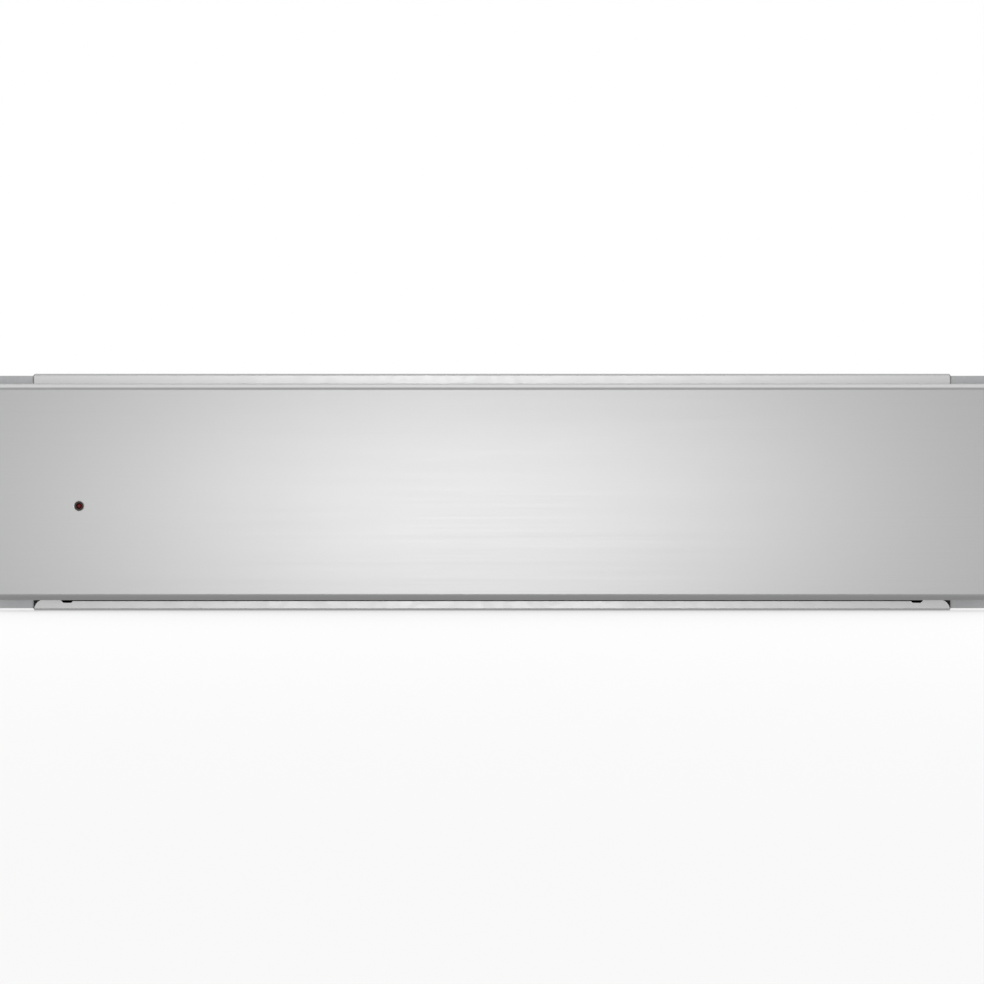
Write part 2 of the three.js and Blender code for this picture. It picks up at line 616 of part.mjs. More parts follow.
function topCover() {
  const bottom = BODY_HEIGHT - COVER_LIP;
  const outline = roundedRectangle(-LIP_HALF, LIP_HALF, bottom - COVER_CORNER, BODY_HEIGHT, COVER_CORNER);
  let cover = join(skirtedTray(BODY_HEIGHT, -1), frontLip(BODY_HEIGHT, -1, bottom, outline));
  for (let i = 1; i <= BEAD_COUNT; i += 1) {
    const y = FRAME_Y + (BODY_DEPTH * i) / (BEAD_COUNT + 1);
    cover = pressBead(cover, HALF_BODY - BEAD_MARGIN, y, BODY_HEIGHT);
  }
  return piece("top_cover", GALVANISED, cover);
}

// A right-hand side wall: web, seam flanges turned in, and the front flange turned out to the cabinet.
function sideWall(name) {
  const web = WALL_OUT - SHEET / 2;
  const seam = web - SIDE_SEAM;
  const low = WALL_BOTTOM + SHEET / 2;
  const high = WALL_TOP - SHEET / 2;
  const seamStart = SKIRT_FRONT_Y + SIDE_SEAM; // the seams stop short of the front flange
  const channel = [[seam, low], [web, low], [web, high], [seam, high]];
  const flangeY = FLANGE_Y + SHEET / 2;
  const angle = [[web, seamStart + SIDE_SEAM], [web, flangeY], [FLANGE_OUT, flangeY]];
  const wall = join(
    extrude("y", bentSheet(channel, SHEET, BEND), seamStart, REAR_WALL_Y),
    extrude("z", bentSheet(angle, SHEET, FLANGE_BEND), WALL_BOTTOM, WALL_TOP),
  );
  const slots = [-1, 1].map((side) => {
    const z = MIDDLE_Z + side * FLANGE_SLOT_RISE;
    const outline = slot(FLANGE_MIDDLE, z, FLANGE_SLOT_LENGTH, FLANGE_SLOT_WIDTH);
    return extrude("y", outline, FLANGE_Y - CUT, FLANGE_Y + SHEET + CUT, 3);
  });
  const reliefs = [WALL_BOTTOM - CUT, WALL_TOP - FLANGE_RELIEF_HEIGHT].map((bottom) => {
    const top = bottom + FLANGE_RELIEF_HEIGHT + CUT;
    const outer = HALF_BODY - FLANGE_RELIEF;
    return block(WALL_IN - CUT, outer, FLANGE_Y - CUT, SKIRT_FRONT_Y, bottom, top);
  });
  return piece(name, GALVANISED, cut(wall, ...slots, ...reliefs));
}

// Rubber stop on the front flange, which takes the blow of a drawer that is pushed too hard.
function bumper(name, z) {
  const body = bar("y", 0, 0, BUMPER_DIAMETER / 2, -BUMPER_THICKNESS, 0, 12);
  return piece(name, RUBBER, body, FLANGE_MIDDLE, FLANGE_Y - FIT, z);
}

function rearWall() {
  const edge = WALL_IN - FIT - SHEET / 2;
  const back = REAR_WALL_Y - SHEET / 2;
  const front = back - SIDE_SEAM;
  const plan = bentSheet([[-edge, front], [-edge, back], [edge, back], [edge, front]], SHEET, BEND);
  const bottom = WALL_BOTTOM + SHEET + FIT;
  const top = WALL_TOP - SHEET - FIT;
  const near = REAR_WALL_INNER_Y - CUT;
  const far = REAR_WALL_Y + CUT;
  const tools = [bar("y", GLAND_X, GLAND_Z, GLAND_HOLE / 2, near, far)];
  for (const side of [-1, 1]) {
    for (let i = 0; i < VENT_SLOTS; i += 1) {
      const x = side * VENT_GROUP_X + (i - (VENT_SLOTS - 1) / 2) * VENT_SLOT_PITCH;
      const vent = slot(x, MIDDLE_Z + VENT_RAISE, VENT_SLOT_LENGTH, VENT_SLOT_WIDTH, true);
      tools.push(extrude("y", vent, near, far, 2));
    }
  }
  return piece("rear_wall", GALVANISED, cut(extrude("z", plan, bottom, top), ...tools));
}

// Bush for the mains lead: a flange outside, a neck through the wall and a nut inside.
function cableGland() {
  const bore = GLAND_BORE / 2;
  const neck = GLAND_HOLE / 2 - 2 * FIT;
  const rim = GLAND_FLANGE_DIAMETER / 2;
  const nut = rim - GLAND_FLANGE / 2;
  const outside = REAR_WALL_Y + FIT;
  const inside = REAR_WALL_INNER_Y - FIT;
  const profile = [
    [bore, GLAND_NUT_Y],
    [nut, GLAND_NUT_Y],
    [nut, inside],
    [neck, inside],
    [neck, outside],
    [rim, outside],
    [rim, outside + GLAND_FLANGE],
    [neck, REAR_Y + GLAND_PROUD],
    [bore, REAR_Y + GLAND_PROUD],
  ];
  return piece("cable_gland", BLACK_PLASTIC, revolve("y", profile), GLAND_X, 0, GLAND_Z);
}

// Terminal box for the mains lead, on the base plate against the gland's nut.
function terminalBox() {
  const back = GLAND_NUT_Y - FIT;
  const front = back - TERMINAL_DEPTH;
  const left = GLAND_X - TERMINAL_WIDTH / 2;
  const right = GLAND_X + TERMINAL_WIDTH / 2;
  const bottom = SHEET + FIT;
  const top = bottom + TERMINAL_HEIGHT;
  const seam = top - TERMINAL_LID;
  const groove = TERMINAL_GROOVE;
  const shell = extrude("x", roundedRectangle(front, back, bottom, top, TERMINAL_CORNER), left, right, 2);
  const around = block(left - CUT, right + CUT, front - CUT, back + CUT, seam, seam + groove);
  const core = block(left + groove, right - groove, front + groove, back - groove, seam - CUT, top);
  const mouth = bar("y", GLAND_X, GLAND_Z, GLAND_BORE / 2, back - TERMINAL_MOUTH, back + CUT, 12);
  return piece("terminal_box", GREY_PLASTIC, cut(shell, cut(around, core), mouth));
}

// ---------------------------------------------------------------- runners

// A runner's rail along y, with a row of screw holes through its web where it is screwed on.
function rail(name, path, webU, shorter, screwed) {
  const half = RUNNER_LENGTH / 2 - shorter;
  const body = extrude("y", bentSheet(mirroredInV(path), RUNNER_SHEET, RUNNER_BEND, 2), -half, half);
  const holes = screwed ? [-RUNNER_HOLE_PITCH, 0, RUNNER_HOLE_PITCH] : [];
  const from = webU - RUNNER_SHEET;
  const to = webU + RUNNER_SHEET;
  const drills = holes.map((y) => bar("x", y, 0, RUNNER_HOLE / 2, from, to, 10));
  return piece(name, RUNNER_STEEL, cut(body, ...drills));
}

function fixedRail(name) {
  const path = [
    [RUNNER_SHEET / 2, OUTER_BALL_V + RACE_FLAT],
    [OUTER_BALL_U - RACE_FLAT, OUTER_BALL_V + RACE],
    [OUTER_BALL_U + RACE_FLAT, OUTER_BALL_V + RACE],
    [OUTER_BALL_U + RACE, OUTER_BALL_V + RACE_FLAT],
    [OUTER_BALL_U + RACE, OUTER_BALL_V + LIP_SHORT],
  ];
  return rail(name, path, RUNNER_SHEET / 2, 0, true);
}

// The middle rail's flange is the inner race of the outer balls and the outer race of the inner ones.
function middleRail(name) {
  const rise = RACE_FLAT / 2; // of the ridge that parts the two rows
  const path = [
    [MIDDLE_RAIL_U, MIDDLE_RAIL_V],
    [OUTER_BALL_U + RACE_FLAT, MIDDLE_RAIL_V],
    [OUTER_BALL_U + RACE_FLAT + rise, MIDDLE_RAIL_V + rise],
    [INNER_BALL_U - RACE_FLAT - rise, MIDDLE_RAIL_V + rise],
    [INNER_BALL_U - RACE_FLAT, MIDDLE_RAIL_V],
    [INNER_BALL_U + RACE_FLAT, MIDDLE_RAIL_V],
    [INNER_BALL_U + RACE, INNER_BALL_V + RACE_FLAT],
    [INNER_BALL_U + RACE, INNER_BALL_V + LIP_SHORT],
  ];
  return rail(name, path, MIDDLE_RAIL_U, MIDDLE_RAIL_SHORTER, false);
}

function drawerRail(name) {
  const rise = RACE_FLAT / 2;
  const path = [
    [DRAWER_RAIL_U, INNER_BALL_V - RACE - rise],
    [DRAWER_RAIL_U - rise, INNER_BALL_V - RACE],
    [INNER_BALL_U - RACE_FLAT, INNER_BALL_V - RACE],
    [INNER_LIP_U, INNER_BALL_V - RACE_FLAT],
    [INNER_LIP_U, INNER_BALL_V - LIP_SHORT],
  ];
  return rail(name, path, DRAWER_RAIL_U, 0, true);
}

// A bent strip that holds two rows of balls, with the balls seated in it.
function ballCage(name, webU, ballU, ballV) {
  const tip = ballU + BALL_RADIUS - CAGE_PLAY;
  const path = mirroredInV([[webU, ballV], [tip, ballV]]);
  const half = ((BALLS_PER_ROW - 1) * BALL_PITCH) / 2 + CAGE_END;
  const strip = extrude("y", bentSheet(path.reverse(), CAGE_SHEET, RUNNER_BEND, 2), -half, half);
  const balls = [];
  for (let i = 0; i < BALLS_PER_ROW; i += 1) {
    const y = (i - (BALLS_PER_ROW - 1) / 2) * BALL_PITCH;
    for (const side of [-1, 1]) {
      const ball = new THREE.SphereGeometry(BALL_RADIUS, 6, 4);
      balls.push(solid(ball.translate(ballU, y, side * ballV)));
    }
  }
  return piece(name, BALL_STEEL, join(strip, ...balls));
}

// A right-hand runner. Its u axis points to the drawer, so it is turned half round about z.
function runner(side) {
  const made = group(
    fixedRail(`${side}_fixed_rail`),
    ballCage(`${side}_outer_ball_cage`, OUTER_CAGE_U, OUTER_BALL_U, OUTER_BALL_V),
    middleRail(`${side}_middle_rail`),
    ballCage(`${side}_inner_ball_cage`, INNER_CAGE_U, INNER_BALL_U, INNER_BALL_V),
    drawerRail(`${side}_drawer_rail`),
  );
  made.rotation.z = Math.PI;
  made.position.set(RUNNER_X, RUNNER_MIDDLE_Y, RUNNER_Z);
  return made;
}

// ---------------------------------------------------------------- drawer front

// Section of the front up to its rear, with bevelled long edges, set in evenly from the outside.
function frontSection(inset, back) {
  const slope = Math.hypot(BEVEL_DEPTH, BEVEL_HEIGHT);
  const face = FRONT_Y + inset;
  const low = FRONT_BOTTOM + inset;
  const high = FRONT_TOP - inset;
  const foldY = FRONT_Y + BEVEL_DEPTH + (inset * (slope - BEVEL_DEPTH)) / BEVEL_HEIGHT;
  const rise = BEVEL_HEIGHT + (inset * (slope - BEVEL_HEIGHT)) / BEVEL_DEPTH;
  const corners = [
    [back, low],
    [back, high],
    [foldY, high],
    [face, FRONT_TOP - rise],
    [face, FRONT_BOTTOM + rise],
    [foldY, low],
  ];
  return softOutline(corners, FRONT_FOLD);
}

// The folded front: a hollow shell with closed ends and a turned edge round its open back.
function frontPanel() {
  const end = FRONT_END;
  const plan = roundedRectangle(-end, end, FRONT_Y, FRONT_BACK_Y + 2 * FRONT_END_EDGE, FRONT_END_EDGE);
  const outside = extrude("x", frontSection(0, FRONT_BACK_Y), -end, end);
  const skin = outside.intersect(extrude("z", plan, FRONT_BOTTOM - CUT, FRONT_TOP + CUT, 2));
  const inside = end - FRONT_SHEET;
  const hollow = extrude("x", frontSection(FRONT_SHEET, FRONT_BACK_Y - FRONT_SHEET), -inside, inside);
  const opening = block(
    FRONT_HEM - end,
    end - FRONT_HEM,
    FRONT_BACK_Y - 2 * FRONT_SHEET,
    FRONT_BACK_Y + CUT,
    FRONT_BOTTOM + FRONT_HEM,
    FRONT_TOP - FRONT_HEM,
  );
  const lampHole = bar("y", LAMP_X, LAMP_Z, LAMP_HOLE / 2, FRONT_Y - CUT, FRONT_Y + FRONT_SHEET + CUT, 24);
  return piece("front_panel", STAINLESS, cut(skin, hollow, opening, lampHole));
}

// A tray inside the front, its edges turned forward, that the drawer box is screwed to.
function frontBacking() {
  const back = BACKING_Y - DRAWER_SHEET / 2;
  const inside = FRONT_SHEET + FIT + DRAWER_SHEET / 2;
  const low = FRONT_BOTTOM + inside;
  const high = FRONT_TOP - inside;
  const front = back - BACKING_FLANGE;
  const path = [[front, low], [back, low], [back, high], [front, high]];
  const end = FRONT_END - FRONT_SHEET - FIT;
  const tray = extrude("x", bentSheet(path, DRAWER_SHEET, DRAWER_BEND), -end, end);
  return piece("front_backing", GALVANISED, tray);
}

// Dark bezel in the front, with its flange and barrel behind the sheet.
function lampBezel() {
  const seat = FRONT_SHEET + FIT;
  const barrel = LAMP_NECK + LAMP_BARREL;
  const profile = [
    [LAMP_BORE, 0],
    [LAMP_NECK, 0],
    [LAMP_NECK, seat],
    [LAMP_FLANGE_DIAMETER / 2, seat],
    [LAMP_FLANGE_DIAMETER / 2, seat + LAMP_FLANGE],
    [barrel, seat + LAMP_FLANGE],
    [barrel, LAMP_ROD_END - LAMP_TAIL],
    [LAMP_BORE, LAMP_ROD_END - LAMP_TAIL],
  ];
  return piece("indicator_bezel", BLACK_PLASTIC, revolve("y", profile), LAMP_X, FRONT_Y, LAMP_Z);
}

// Red light rod: a domed head in the bezel, and a tail that reaches the lamp holder.
function lampLens() {
  const radius = LAMP_BORE - FIT;
  const profile = [
    [0, FIT],
    [radius * Math.SQRT1_2, FIT + LAMP_DOME * (1 - Math.SQRT1_2)],
    [radius, FIT + LAMP_DOME],
    [radius, LAMP_ROD_END],
    [0, LAMP_ROD_END],
  ];
  return piece("indicator_lens", RED_LENS, revolve("y", profile, 12), LAMP_X, FRONT_Y, LAMP_Z);
}

function lampHolder() {
  const halfX = LAMP_HOLDER_WIDTH / 2;
  const halfZ = LAMP_HOLDER_HEIGHT / 2;
  const outline = roundedRectangle(-halfX, halfX, -halfZ, halfZ, LAMP_HOLDER_DEPTH / 2);
  const body = extrude("y", outline, -LAMP_HOLDER_DEPTH, 0, 1);
  return piece("indicator_lamp_holder", GREY_PLASTIC, body, LAMP_X, LAMP_HOLDER_Y, LAMP_Z);
}

// ---------------------------------------------------------------- drawer box

// A right-hand side wall, its lower edge turned in under the floor and its rim turned out.
function boxSideWall(name) {
  const web = BOX_OUT - DRAWER_SHEET / 2;
  const low = DRAWER_BOTTOM + DRAWER_SHEET / 2;
  const high = DRAWER_TOP - DRAWER_SHEET / 2;
  const path = [[web - SEAM, low], [web, low], [web, high], [web + RIM_WIDTH, high]];
  const wall = extrude("y", bentSheet(path, DRAWER_SHEET, DRAWER_BEND), BOX_FRONT_Y, BOX_REAR_Y);
  return piece(name, STAINLESS, wall);
}

function boxFloor() {
  const half = BOX_IN - FIT;
  const sheet = block(-half, half, BOX_FRONT_Y, BOX_REAR_Y, FLOOR_Z, FLOOR_TOP);
  return piece("drawer_floor", STAINLESS, sheet);
}

// An end wall of the drawer, its sides turned inwards along y.
function boxEndWall(name, outerY, inwards, top) {
  const edge = BOX_IN - FIT - DRAWER_SHEET / 2;
  const web = outerY + (inwards * DRAWER_SHEET) / 2;
  const seam = web + inwards * SEAM;
  const path = [[-edge, seam], [-edge, web], [edge, web], [edge, seam]];
  const wall = extrude("z", bentSheet(path, DRAWER_SHEET, DRAWER_BEND), PLENUM_BOTTOM, top);
  return piece(name, STAINLESS, wall);
}

// An arc-shaped slot about the fan's axis.
function arcSlot(radius, start, end) {
  const shape = new THREE.Shape();
  shape.absarc(0, FAN_Z, radius + GRILLE_SLOT / 2, start, end);
  shape.absarc(0, FAN_Z, radius - GRILLE_SLOT / 2, end, start, true);
  shape.closePath();
  return shape;
}

// Rings of arc slots over the fan's eye. Each ring's bridges are turned half a step from the last.
function grilleSlots() {
  const slots = [];
  const span = (2 * Math.PI) / GRILLE_ARCS;
  for (let ring = 1; ring <= GRILLE_RINGS; ring += 1) {
    const radius = ring * GRILLE_RING_PITCH;
    const bridge = GRILLE_SLOT / radius;
    for (let i = 0; i < GRILLE_ARCS; i += 1) {
      const start = (i + ring / 2) * span;
      slots.push(arcSlot(radius, start + bridge / 2, start + span - bridge / 2));
    }
  }
  return slots;
}

function louvreSlots() {
  const slots = [];
  for (const side of [-1, 1]) {
    for (let column = 0; column < LOUVRE_COLUMNS; column += 1) {
      for (let row = 0; row < LOUVRE_ROWS; row += 1) {
        const x = side * (LOUVRE_FIRST_X + column * LOUVRE_PITCH_X);
        const z = FAN_Z + (row - (LOUVRE_ROWS - 1) / 2) * LOUVRE_PITCH_Z;
        slots.push(slot(x, z, LOUVRE_LENGTH, LOUVRE_HEIGHT));
      }
    }
  }
  return slots;
}

// The inner rear wall: the fan draws air in through the grille and blows it out at both sides.
// Its top runs back to the rear wall and closes the fan space.
function airBaffle() {
  const edge = BOX_IN - FIT;
  const web = BAFFLE_Y + DRAWER_SHEET / 2;
  const high = PLENUM_TOP + DRAWER_SHEET / 2;
  const path = [[web, PLENUM_BOTTOM], [web, high], [BOX_REAR_Y - DRAWER_SHEET, high]];
  const sheet = extrude("x", bentSheet(path, DRAWER_SHEET, DRAWER_BEND), -edge, edge);
  const punch = (hole) => extrude("y", hole, BAFFLE_Y - CUT, BAFFLE_Y + DRAWER_SHEET + CUT, 2);
  const holes = [...grilleSlots(), ...louvreSlots()];
  return piece("air_baffle", STAINLESS, cut(sheet, ...holes.map(punch)));
}

// ---------------------------------------------------------------- heated floor

// A flat layer of the heated floor, between the drawer's walls and the baffle.
function floorLayer(name, material, bottom, thickness, margin) {
  const x = SEAM_IN - FIT - margin;
  const front = BOX_INNER_FRONT_Y + margin;
  const back = BAFFLE_Y - FIT - margin;
  const outline = roundedRectangle(-x, x, front, back, PLATE_CORNER);
  return piece(name, material, extrude("z", outline, bottom, bottom + thickness, 2));
}

// ---------------------------------------------------------------- fan heater

// These pieces are drawn about the fan's shaft and lifted to FAN_Z.

// A forward-curved blade: a band whose angle grows with the square of its way out.
function bladeSection(turn) {
  const steps = 4;
  const tip = FAN_RADIUS - BLADE_TIP_INSET;
  const root = tip - BLADE_LENGTH;
  const near = [];
  const far = [];
  for (let i = 0; i <= steps; i += 1) {
    const share = i / steps;
    const radius = root + BLADE_LENGTH * share;
    const angle = turn + BLADE_SWEEP * share * share;
    const half = BLADE_THICKNESS / 2 / radius;
    near.push([radius * Math.cos(angle - half), radius * Math.sin(angle - half)]);
    far.unshift([radius * Math.cos(angle + half), radius * Math.sin(angle + half)]);
  }
  return polygon([...near, ...far]);
}

function impeller() {
  const disk = bar("y", 0, 0, FAN_RADIUS, FAN_DISC_Y, FAN_BACK_Y, 32);
  const hub = bar("y", 0, 0, FAN_HUB / 2, FAN_DISC_Y - FAN_DEPTH / 2, FAN_BACK_Y, 12);
  const blades = [];
  for (let i = 0; i < FAN_BLADES; i += 1) {
    const section = bladeSection((2 * Math.PI * i) / FAN_BLADES);
    blades.push(extrude("y", section, FAN_FRONT_Y, FAN_DISC_Y + FAN_DISC / 2));
  }
  const bore = bar("y", 0, 0, SHAFT_DIAMETER / 2 + FIT, FAN_FRONT_Y, FAN_BACK_Y + CUT, 10);
  return piece("fan_impeller", GREY_PLASTIC, cut(join(disk, hub, ...blades), bore), 0, 0, FAN_Z);
}

// Motor shaft with the rotor drum on it.
function rotor() {
  const shaft = SHAFT_DIAMETER / 2;
  const drum = ROTOR_DIAMETER / 2;
  const shaftFront = FAN_FRONT_Y + GRILLE_GAP;
  const shaftEnd = BRIDGE_Y + BEARING_LENGTH - CUT;
  const profile = [
    [0, shaftFront],
    [shaft, shaftFront],
    [shaft, STACK_Y],
    [drum, STACK_Y],
    [drum, STACK_BACK_Y],
    [shaft, STACK_BACK_Y],
    [shaft, shaftEnd],
    [0, shaftEnd],
  ];
  return piece("fan_rotor", RUNNER_STEEL, revolve("y", profile), 0, 0, FAN_Z);
}

// Laminated iron of the shaded-pole motor: a bore round the rotor and a leg that carries the coil.
// Two studs stand it off the motor plate.
function motorStack() {
  const right = WINDOW_END + STACK_LEG;
  const outline = roundedRectangle(-STACK_HALF, right, -STACK_HALF, STACK_HALF, MOTOR_STUD);
  const front = STACK_Y - CUT;
  const back = STACK_BACK_Y + CUT;
  const iron = cut(
    extrude("y", outline, STACK_Y, STACK_BACK_Y, 1),
    bar("y", 0, 0, ROTOR_DIAMETER / 2 + ROTOR_GAP, front, back, 20),
    block(WINDOW_START, WINDOW_END, front, back, -WINDOW_HALF, WINDOW_HALF),
  );
  const corner = STACK_HALF - MOTOR_STUD - CUT;
  const studs = [-corner, corner].map((z) => {
    return bar("y", -corner, z, MOTOR_STUD, MOTOR_PLATE_BACK_Y + FIT, STACK_Y + CUT, 8);
  });
  return piece("motor_stack", MOTOR_IRON, join(iron, ...studs), 0, 0, FAN_Z);
}

function motorCoil() {
  const inner = WINDOW_END - FIT;
  const outer = WINDOW_END + STACK_LEG + FIT;
  const half = WINDOW_HALF - FIT;
  const front = STACK_Y - COIL_PROUD;
  const back = STACK_BACK_Y + COIL_PROUD;
  const outline = roundedRectangle(inner - COIL_WALL, outer + COIL_WALL, front, back, COIL_PROUD / 2);
  const window = block(inner, outer, STACK_Y - FIT, STACK_BACK_Y + FIT, -half - CUT, half + CUT);
  const winding = cut(extrude("z", outline, -half, half, 2), window);
  return piece("motor_coil", COIL_TAPE, winding, 0, 0, FAN_Z);
}

// Strap across the back of the motor, with the shaft's bearing.
function bearingBridge() {
  const reach = STACK_HALF - 2 * SHEET;
  const foot = STACK_BACK_Y + FIT;
  const strapY = BRIDGE_Y + SHEET / 2;
  const path = [[foot, reach], [strapY, reach], [strapY, -reach], [foot, -reach]];
  const strap = extrude("x", bentSheet(path, SHEET, BEND), -BRIDGE_WIDTH / 2, BRIDGE_WIDTH / 2);
  const end = BRIDGE_Y + BEARING_LENGTH;
  const bearing = bar("y", 0, 0, BEARING_DIAMETER / 2, BRIDGE_Y, end, 14);
  const bore = bar("y", 0, 0, SHAFT_DIAMETER / 2 + FIT / 2, BRIDGE_Y - CUT, end + CUT, 14);
  return piece("bearing_bridge", RUNNER_STEEL, cut(join(strap, bearing), bore), 0, 0, FAN_Z);
}

// Upright plate between fan and motor, its foot on the drawer floor.
function motorPlate() {
  const half = HEATER_RADIUS + HEATER_DIAMETER / 2 + MOTOR_PLATE_MARGIN;
  const web = MOTOR_PLATE_Y + DRAWER_SHEET / 2;
  const foot = PLENUM_BOTTOM + DRAWER_SHEET / 2;
  const path = [[web + MOTOR_PLATE_FOOT, foot], [web, foot], [web, PLENUM_TOP - FIT]];
  const drill = (x, z, radius) => {
    return bar("y", x, z, radius, MOTOR_PLATE_Y - CUT, MOTOR_PLATE_BACK_Y + CUT, 12);
  };
  const tailHole = HEATER_DIAMETER / 2 + FIT;
  const plate = cut(
    extrude("x", bentSheet(path, DRAWER_SHEET, DRAWER_BEND), -half, half),
    drill(0, FAN_Z, SHAFT_DIAMETER),
    drill(-HEATER_TAIL_X, FAN_Z + HEATER_TAIL_Z, tailHole),
    drill(HEATER_TAIL_X, FAN_Z + HEATER_TAIL_Z, tailHole),
  );
  return piece("motor_plate", GALVANISED, plate);
}

// Tubular heater: a ring round the fan whose two ends turn back through the motor plate.
function heaterRing() {
  const ringY = (FAN_FRONT_Y + FAN_DISC_Y) / 2;
  const turnY = ringY + HEATER_DIAMETER;
  const endY = MOTOR_PLATE_BACK_Y + HEATER_TAIL;
  const ringSteps = 20;
  const sweep = 2 * Math.PI - HEATER_OPENING;
  const points = [];
  for (let i = 0; i <= ringSteps; i += 1) {
    const angle = (HEATER_OPENING - Math.PI) / 2 + (sweep * i) / ringSteps;
    const x = HEATER_RADIUS * Math.cos(angle);
    points.push(new THREE.Vector3(x, ringY, HEATER_RADIUS * Math.sin(angle)));
  }
  const tail = (side, y) => new THREE.Vector3(side * HEATER_TAIL_X, y, HEATER_TAIL_Z);
  points.unshift(tail(1, endY), tail(1, turnY));
  points.push(tail(-1, turnY), tail(-1, endY));
  const extrudePath = new THREE.CatmullRomCurve3(points, false, "centripetal");
  const options = { steps: 2 * ringSteps, extrudePath, curveSegments: 3 };
  const tube = new THREE.ExtrudeGeometry(disc(0, 0, HEATER_DIAMETER / 2), options);
  return piece("heater_ring", HEATER_TUBE, solid(tube), 0, 0, FAN_Z);
}

// ---------------------------------------------------------------- controls

// Console over the thermostat and switch: a top bent down into its rear face, with closed sides.
function controlConsole() {
  const top = CONSOLE_TOP - DRAWER_SHEET / 2;
  const back = CONSOLE_BACK_Y - DRAWER_SHEET / 2;
  const bottom = MAT_TOP + FIT;
  const path = [[BOX_INNER_FRONT_Y, top], [back, top], [back, bottom]];
  const skin = extrude("x", bentSheet(path, DRAWER_SHEET, CONSOLE_BEND, 5), CONSOLE_LEFT, CONSOLE_RIGHT);
  const cheek = new THREE.Shape();
  cheek.moveTo(BOX_INNER_FRONT_Y, bottom);
  cheek.lineTo(back, bottom);
  cheek.absarc(back - CONSOLE_BEND, top - CONSOLE_BEND, CONSOLE_BEND, 0, Math.PI / 2);
  cheek.lineTo(BOX_INNER_FRONT_Y, top);
  cheek.closePath();
  const body = join(
    skin,
    extrude("x", cheek, CONSOLE_LEFT, CONSOLE_LEFT + DRAWER_SHEET, 2),
    extrude("x", cheek, CONSOLE_RIGHT - DRAWER_SHEET, CONSOLE_RIGHT, 2),
  );
  const low = CONSOLE_UNDERSIDE - CUT;
  const high = CONSOLE_TOP + CUT;
  const halfX = SWITCH_HALF_X + FIT;
  const halfY = SWITCH_HALF_Y + FIT;
  const bushHole = bar("z", KNOB_X, CONTROLS_Y, BUSH_DIAMETER / 2 + FIT, low, high);
  const switchHole = block(
    SWITCH_X - halfX,
    SWITCH_X + halfX,
    CONTROLS_Y - halfY,
    CONTROLS_Y + halfY,
    low,
    high,
  );
  return piece("control_console", STAINLESS, cut(body, bushHole, switchHole));
}

// Thermostat under the console, its bush through the sheet. Heights are from the console's top.
function thermostat() {
  const top = -DRAWER_SHEET - FIT;
  const half = THERMOSTAT_SIZE / 2;
  const outline = roundedRectangle(-half, half, -half, half, THERMOSTAT_CORNER);
  const body = extrude("z", outline, top - THERMOSTAT_HEIGHT, top, 2);
  const bush = bar("z", 0, 0, BUSH_DIAMETER / 2, top - CUT, BUSH_PROUD);
  const bore = bar("z", 0, 0, SPINDLE_DIAMETER / 2 + FIT, top - SPINDLE_REACH - FIT, BUSH_PROUD + CUT);
  return piece("thermostat", GREY_PLASTIC, cut(join(body, bush), bore), KNOB_X, CONTROLS_Y, CONSOLE_TOP);
}

function spindle() {
  const bottom = CONSOLE_UNDERSIDE - FIT - SPINDLE_REACH;
  const top = KNOB_Z + KNOB_SOCKET_DEPTH - FIT;
  const body = bar("z", 0, 0, SPINDLE_DIAMETER / 2, bottom, top, 12);
  return piece("thermostat_spindle", RUNNER_STEEL, body, KNOB_X, CONTROLS_Y, 0);
}

// Outline of the knob's grip: a circle with a cosine wave round it.
function flutedOutline() {
  const steps = KNOB_FLUTES * 3;
  const mean = (KNOB_DIAMETER - KNOB_FLUTE_DEPTH) / 2;
  const points = [];
  for (let i = 0; i < steps; i += 1) {
    const angle = (2 * Math.PI * i) / steps;
    const radius = mean + (KNOB_FLUTE_DEPTH / 2) * Math.cos(KNOB_FLUTES * angle);
    points.push([radius * Math.cos(angle), radius * Math.sin(angle)]);
  }
  return polygon(points);
}

// Fluted grip with a bevelled top on a round skirt, and a socket for the spindle below.
function knob() {
  const base = KNOB_SKIRT_HEIGHT / 2;
  const skirtRadius = KNOB_SKIRT_DIAMETER / 2;
  const grip = new THREE.ExtrudeGeometry(flutedOutline(), {
    depth: KNOB_HEIGHT - base - KNOB_BEVEL,
    bevelThickness: KNOB_BEVEL,
    bevelSize: KNOB_BEVEL,
    bevelOffset: -KNOB_BEVEL,
    bevelSegments: 1,
  });
  const profile = [
    [0, 0],
    [skirtRadius, 0],
    [skirtRadius, base],
    [skirtRadius - base, KNOB_SKIRT_HEIGHT],
    [0, KNOB_SKIRT_HEIGHT],
  ];
  const body = join(revolve("z", profile, 32), solid(grip.translate(0, 0, base)));
  const socket = bar("z", 0, 0, SPINDLE_DIAMETER / 2 + FIT, -CUT, KNOB_SOCKET_DEPTH);
  return piece("thermostat_knob", BLACK_PLASTIC, cut(body, socket), KNOB_X, CONTROLS_Y, KNOB_Z);
}

